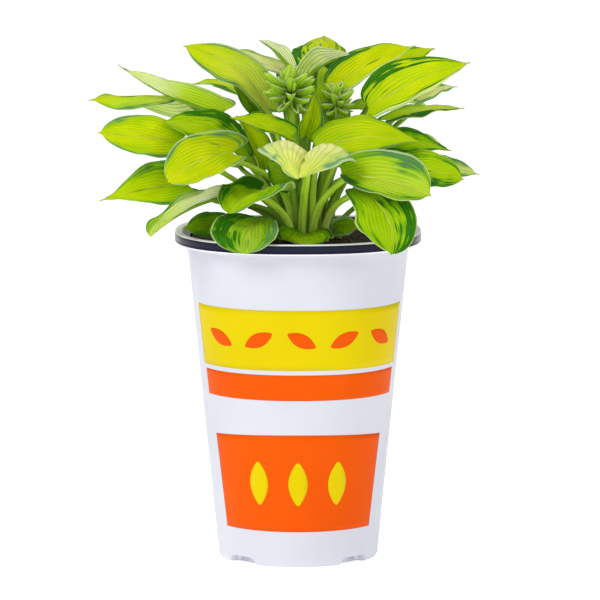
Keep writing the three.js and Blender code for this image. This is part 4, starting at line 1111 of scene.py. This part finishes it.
def arch_body(middle):
    """A low arch with rounded ends that cuts one notch into the foot from outside."""
    wide, tall = NOTCH_HALF_ANGLE, NOTCH_HEIGHT
    half = [(-wide - 1, -1), (-wide + 1.6, tall - 1.8), (-wide + 2.8, tall - 0.6), (-wide + 5, tall)]
    section = half + [(0, tall)] + [(-angle, z) for angle, z in reversed(half)]
    points = []
    for radius in NOTCH_REACH:
        for angle, z in section:
            a = math.radians(middle + angle)
            points.append((radius * math.cos(a), radius * math.sin(a), z))
    return points, tube_faces(2, len(section))


def drain_body(angle, sides=20):
    """A short upright round bar that cuts one drain hole."""
    points = []
    for z in DRAIN_REACH:
        for a in round_steps(sides):
            x = DRAIN_RING * math.cos(angle) + DRAIN_RADIUS * math.cos(a)
            y = DRAIN_RING * math.sin(angle) + DRAIN_RADIUS * math.sin(a)
            points.append((x, y, z))
    return points, tube_faces(2, sides)


def loose_mesh(name, bodies):
    """A mesh of closed bodies that only serves as a cutter."""
    points, faces = [], []
    for more_points, more_faces in bodies:
        faces += [tuple(k + len(points) for k in face) for face in more_faces]
        points += more_points
    mesh = bpy.data.meshes.new(name)
    mesh.from_pydata((np.array(points) * MM).tolist(), [], faces)
    cutter = bpy.data.objects.new(name, mesh)
    bpy.context.scene.collection.objects.link(cutter)
    return cutter


def cut_away(piece, cutter):
    """Takes the cutter's bodies out of the piece for good."""
    cut = piece.modifiers.new("cut", "BOOLEAN")
    cut.operation = "DIFFERENCE"
    cut.solver = "EXACT"
    cut.object = cutter
    bpy.context.view_layer.update()
    shaped = piece.evaluated_get(bpy.context.evaluated_depsgraph_get())
    mesh = bpy.data.meshes.new_from_object(shaped)
    piece.modifiers.clear()
    piece.data = mesh
    bpy.data.objects.remove(cutter)


class HostaMakePot(bpy.types.Operator):
    """Mould the pot with its collar, banded rim, drain notches and drain holes"""

    bl_idname = "hosta.make_pot"
    bl_label = "Pot"

    def execute(self, context):
        sizes, colours = context.scene.hosta_pot, context.scene.hosta_colours
        lines = pot_profile(sizes)
        rings = [plan_points(radius, round_steps(POT_AROUND), z) for radius, z, _ in lines[1:-1]]
        points, faces = pointed_body(row(0, 0, lines[0][1]), rings, row(0, 0, lines[-1][1]))
        slots = [finish for _, _, finish in lines[1:-2] for _ in range(POT_AROUND)]
        slots += [PALE, DARK] * POT_AROUND
        shape = Shape()
        shape.add(points, faces, slots)
        shell = moulded_plastic("pale plastic", colours.shell, SHELL_SHADOW, 0.34, 0.5)
        lining = moulded_plastic("dark plastic", colours.lining, LINING_SHADOW, 0.14, 0.28, 0.14)
        # Painted highlight on the rim's edges.
        brow = moulded_plastic("rubbed rim edge", EDGE_HIGHLIGHT, EDGE_HIGHLIGHT_DIM, 0.4, 0.55)
        piece = shape.piece("pot_shell", [shell, lining, brow], "pot_plastic", ["pot"])
        bodies = [arch_body(middle) for middle in NOTCHES]
        bodies += [drain_body(math.radians(middle + turn)) for middle in NOTCHES for turn in DRAIN_TURNS]
        cut_away(piece, loose_mesh("notch and hole cutters", bodies))
        piece.data.set_sharp_from_angle(angle=math.radians(SHARP_FROM))
        return {"FINISHED"}


# Printed panels: level fields with leaf motifs, in a layout of their own.

YELLOW, ORANGE = 0, 1
PRINT_BACK = -0.3


def even_edge(edge, count):
    """Even steps along an edge that is given as places of (degrees, height)."""
    steps, given = np.linspace(0, 1, count), np.linspace(0, 1, len(edge))
    return np.stack([np.interp(steps, given, values) for values in zip(*edge)], -1)


def add_panel(shape, sizes, low, high, slot, lift, rows=10, columns=60):
    """A thin closed field on the wall, between edges given as places of (degrees from the front, height)."""
    f = np.linspace(0, 1, rows)[:, None, None]
    places = even_edge(low, columns) * (1 - f) + even_edge(high, columns) * f
    angle, z = np.radians(places[..., 0] - 90), places[..., 1]
    sides = [plan_points(wall_radius(sizes, z) + off, angle, z) for off in (lift, PRINT_BACK)]
    shape.add(np.stack(sides), sheet_faces(rows, columns), slot)


def level_edge(left, right, z):
    return [(left, z), (right, z)]


def leaf_edges(centre, height, length, width, tilt):
    """Lower and upper edge of a pointed leaf mark on the wall, in degrees and millimetres."""
    low, high = [], []
    for f in np.linspace(0.02, 0.98, 15):
        half = 0.5 * width * math.sin(math.pi * f) ** 0.8
        for edge, across in ((low, -half), (high, half)):
            x, y = turned((f - 0.5) * length, across, math.radians(tilt))
            edge.append((centre + x * 0.9, height + y))
    return low, high


class HostaMakePrint(bpy.types.Operator):
    """Lay the printed colour fields and leaf marks on the pot's wall"""

    bl_idname = "hosta.make_print"
    bl_label = "Printed panels"

    def execute(self, context):
        sizes, colours = context.scene.hosta_pot, context.scene.hosta_colours
        relief = sizes.print_relief / MM
        mark_relief = 1.8 * relief
        shape = Shape()
        add_panel(shape, sizes, level_edge(-66, 70, 132), level_edge(-66, 70, 172), YELLOW, relief)
        add_panel(shape, sizes, level_edge(-64, 68, 112), level_edge(-64, 68, 129), ORANGE, relief)
        crown = [(-60 + 10 * k, 86 + 3 * math.sin(math.pi * k / 12)) for k in range(13)]
        add_panel(shape, sizes, level_edge(-58, 58, 24), crown, ORANGE, relief, rows=16)
        for k in range(5):
            low, high = leaf_edges(-46 + 24 * k, 152, 20, 9, 28 if k % 2 else -28)
            add_panel(shape, sizes, low, high, ORANGE, mark_relief, rows=6, columns=24)
        for k in range(3):
            low, high = leaf_edges(-26 + 26 * k, 56, 30, 14, 90)
            add_panel(shape, sizes, low, high, YELLOW, mark_relief, rows=6, columns=30)
        sun = moulded_plastic("yellow print", colours.sun, SUN_SHADOW, 0.3, 0.42, shine=0.05)
        orange = moulded_plastic("orange print", colours.orange, ORANGE_SHADOW, 0.3, 0.42, shine=0.05)
        shape.piece("pot_print", [sun, orange], "pot_plastic")
        return {"FINISHED"}


# The potting mix.

MIX_RINGS = 48
MIX_AROUND = 150
MIX_SLOT, BARK_SLOT = 0, 1
CHIP_REACH = 68
CHIP_SIDES = 6
CHIP_LEVELS = ((-0.5, 0.8), (0.15, 1.0), (0.5, 0.7))


class HostaMakeMix(bpy.types.Operator):
    """Fill the pot with potting mix and scatter bark chips and crumbs on it"""

    bl_idname = "hosta.make_mix"
    bl_label = "Potting mix"

    def execute(self, context):
        sizes, colours = context.scene.hosta_pot, context.scene.hosta_colours
        brim = (sizes.collar_radius - sizes.wall) / MM - 1.2
        angle = round_steps(MIX_AROUND)
        rings = []
        for k in range(1, MIX_RINGS + 1):
            ring = plan_points(brim * k / MIX_RINGS, angle, SOIL_EDGE)
            ring[:, 2] = soil_height(ring[:, 0], ring[:, 1])
            rough = 0.7 if k < MIX_RINGS else 0.21
            for point in ring:
                point[2] += rough * noise.fractal(Vector((point[0], point[1], 0)) * 0.22, 0.8, 2.2, 4)
            rings.append(ring)
        foot = (sizes.foot_radius - sizes.wall) / MM
        ceiling, floor = BAY_CEILING + SOIL_GAP, FLOOR_TOP + SOIL_GAP
        lower = [(brim - 0.8, 201), (sizes.top_radius / MM - 3.5, 193), (foot + 0.2, ceiling)]
        lower += [(BAY_INNER, ceiling), (BAY_INNER - 2.4, floor)]
        rings += [plan_points(radius, angle, z) for radius, z in lower]
        middle = row(0, 0, float(soil_height(0, 0)))
        shape = Shape()
        shape.add(*pointed_body(middle, rings, row(0, 0, floor), flip=True), MIX_SLOT)
        self.scatter(shape, count=340, small=2.2, large=7.5, flat=0.35, seed=4)
        self.scatter(shape, count=900, small=0.7, large=2.0, flat=0.7, seed=9)
        shape.piece("potting_mix", [peat(colours), bark_chip(colours)], "potting_mix", ["soil"])
        return {"FINISHED"}

    def scatter(self, shape, count, small, large, flat, seed):
        """Irregular chips, half sunk in the mix and tilted."""
        dice = random.Random(seed)
        for _ in range(count):
            reach, turn = CHIP_REACH * math.sqrt(dice.random()), dice.uniform(0, 2 * math.pi)
            x, y = reach * math.cos(turn), reach * math.sin(turn)
            length = small + (large - small) * dice.random() ** 2
            width = length * dice.uniform(0.35, 0.7)
            tall = width * flat * dice.uniform(0.5, 1.1)
            yaw, tilt = dice.uniform(0, math.pi), dice.gauss(0, 0.35)
            local = []
            for level, shrink in CHIP_LEVELS:
                for a in round_steps(CHIP_SIDES):
                    grow = shrink * dice.uniform(0.75, 1.15)
                    height = tall * (level + dice.uniform(-0.12, 0.12))
                    local.append((length / 2 * math.cos(a) * grow, width / 2 * math.sin(a) * grow, height))
            px, py, pz = np.array(local).T
            px, pz = turned(px, pz, tilt)
            px, py = turned(px, py, yaw)
            points = row(x, y, soil_height(x, y) + 0.3 * tall) + np.stack([px, py, pz], -1)
            shape.add(points, tube_faces(len(CHIP_LEVELS), CHIP_SIDES), BARK_SLOT, tone=dice.random())


# The plant.

class HostaMakeLeaves(bpy.types.Operator):
    """Grow the 43 leaves, each one blade and its stalk"""

    bl_idname = "hosta.make_leaves"
    bl_label = "Leaves"

    def execute(self, context):
        sizes, colours = context.scene.hosta_leaves, context.scene.hosta_colours
        blade = leaf_tissue("leaf tissue", colours, colours.under, UNDER_LINE)
        finishes = [blade, leaf_stalk(colours)]
        for one in LEAVES:
            axes = blade_frame(one)
            shape = Shape()
            veins = max(3, sizes.veins - 2) if one.small else sizes.veins
            add_blade(shape, one, axes, sizes, sizes.rows, veins)
            add_stalk(shape, one, axes, sizes)
            shape.piece(one.name + "_blade", finishes, "leaf_tissue", [one.name])
        return {"FINISHED"}


class HostaMakeHeads(bpy.types.Operator):
    """Set the two flower heads on their stems"""

    bl_idname = "hosta.make_heads"
    bl_label = "Flower heads"

    def execute(self, context):
        sizes, colours = context.scene.hosta_leaves, context.scene.hosta_colours
        bract = leaf_tissue("bract tissue", colours, BRACT_UNDER, BRACT_LINE, 0.9)
        finishes = [bract, bpy.data.materials.get("leaf stalk") or leaf_stalk(colours)]
        for head in HEADS:
            shape = Shape()
            add_whorls(shape, head, sizes, head.whorls, head.seed, "outer")
            add_whorls(shape, head, sizes, head.tucked, head.seed + 20, "tucked")
            add_scape(shape, head)
            shape.piece(head.name + "_bloom", finishes, "flower_bract", [head.name])
        return {"FINISHED"}


class HostaPanel(bpy.types.Panel):
    """Sizes, colours and steps of the potted hosta"""

    bl_idname = "VIEW3D_PT_hosta"
    bl_label = "Potted hosta"
    bl_space_type = "VIEW_3D"
    bl_region_type = "UI"
    bl_category = "Hosta"

    def draw(self, context):
        for settings in GROUPS:
            box = self.layout.box()
            group = getattr(context.scene, settings)
            for name in group.bl_rna.properties.keys():
                if name not in ("rna_type", "name"):
                    box.prop(group, name)
        for step in STEPS:
            self.layout.operator(step.bl_idname)


GROUPS = {
    "hosta_pot": HostaPotSizes,
    "hosta_leaves": HostaLeafSizes,
    "hosta_colours": HostaColours,
    "hosta_stage": HostaStage,
}
STEPS = (HostaMakeStage, HostaMakePot, HostaMakePrint, HostaMakeMix, HostaMakeLeaves, HostaMakeHeads)


def register():
    for kind in (*GROUPS.values(), *STEPS, HostaPanel):
        bpy.utils.register_class(kind)
    for settings, kind in GROUPS.items():
        setattr(bpy.types.Scene, settings, PointerProperty(type=kind))


def unregister():
    for settings in GROUPS:
        delattr(bpy.types.Scene, settings)
    for kind in (HostaPanel, *reversed(STEPS), *reversed(GROUPS.values())):
        bpy.utils.unregister_class(kind)


def main():
    register()
    bpy.ops.hosta.make_stage()
    bpy.ops.hosta.make_pot()
    bpy.ops.hosta.make_print()
    bpy.ops.hosta.make_mix()
    bpy.ops.hosta.make_leaves()
    bpy.ops.hosta.make_heads()


if __name__ == "__main__":
    main()
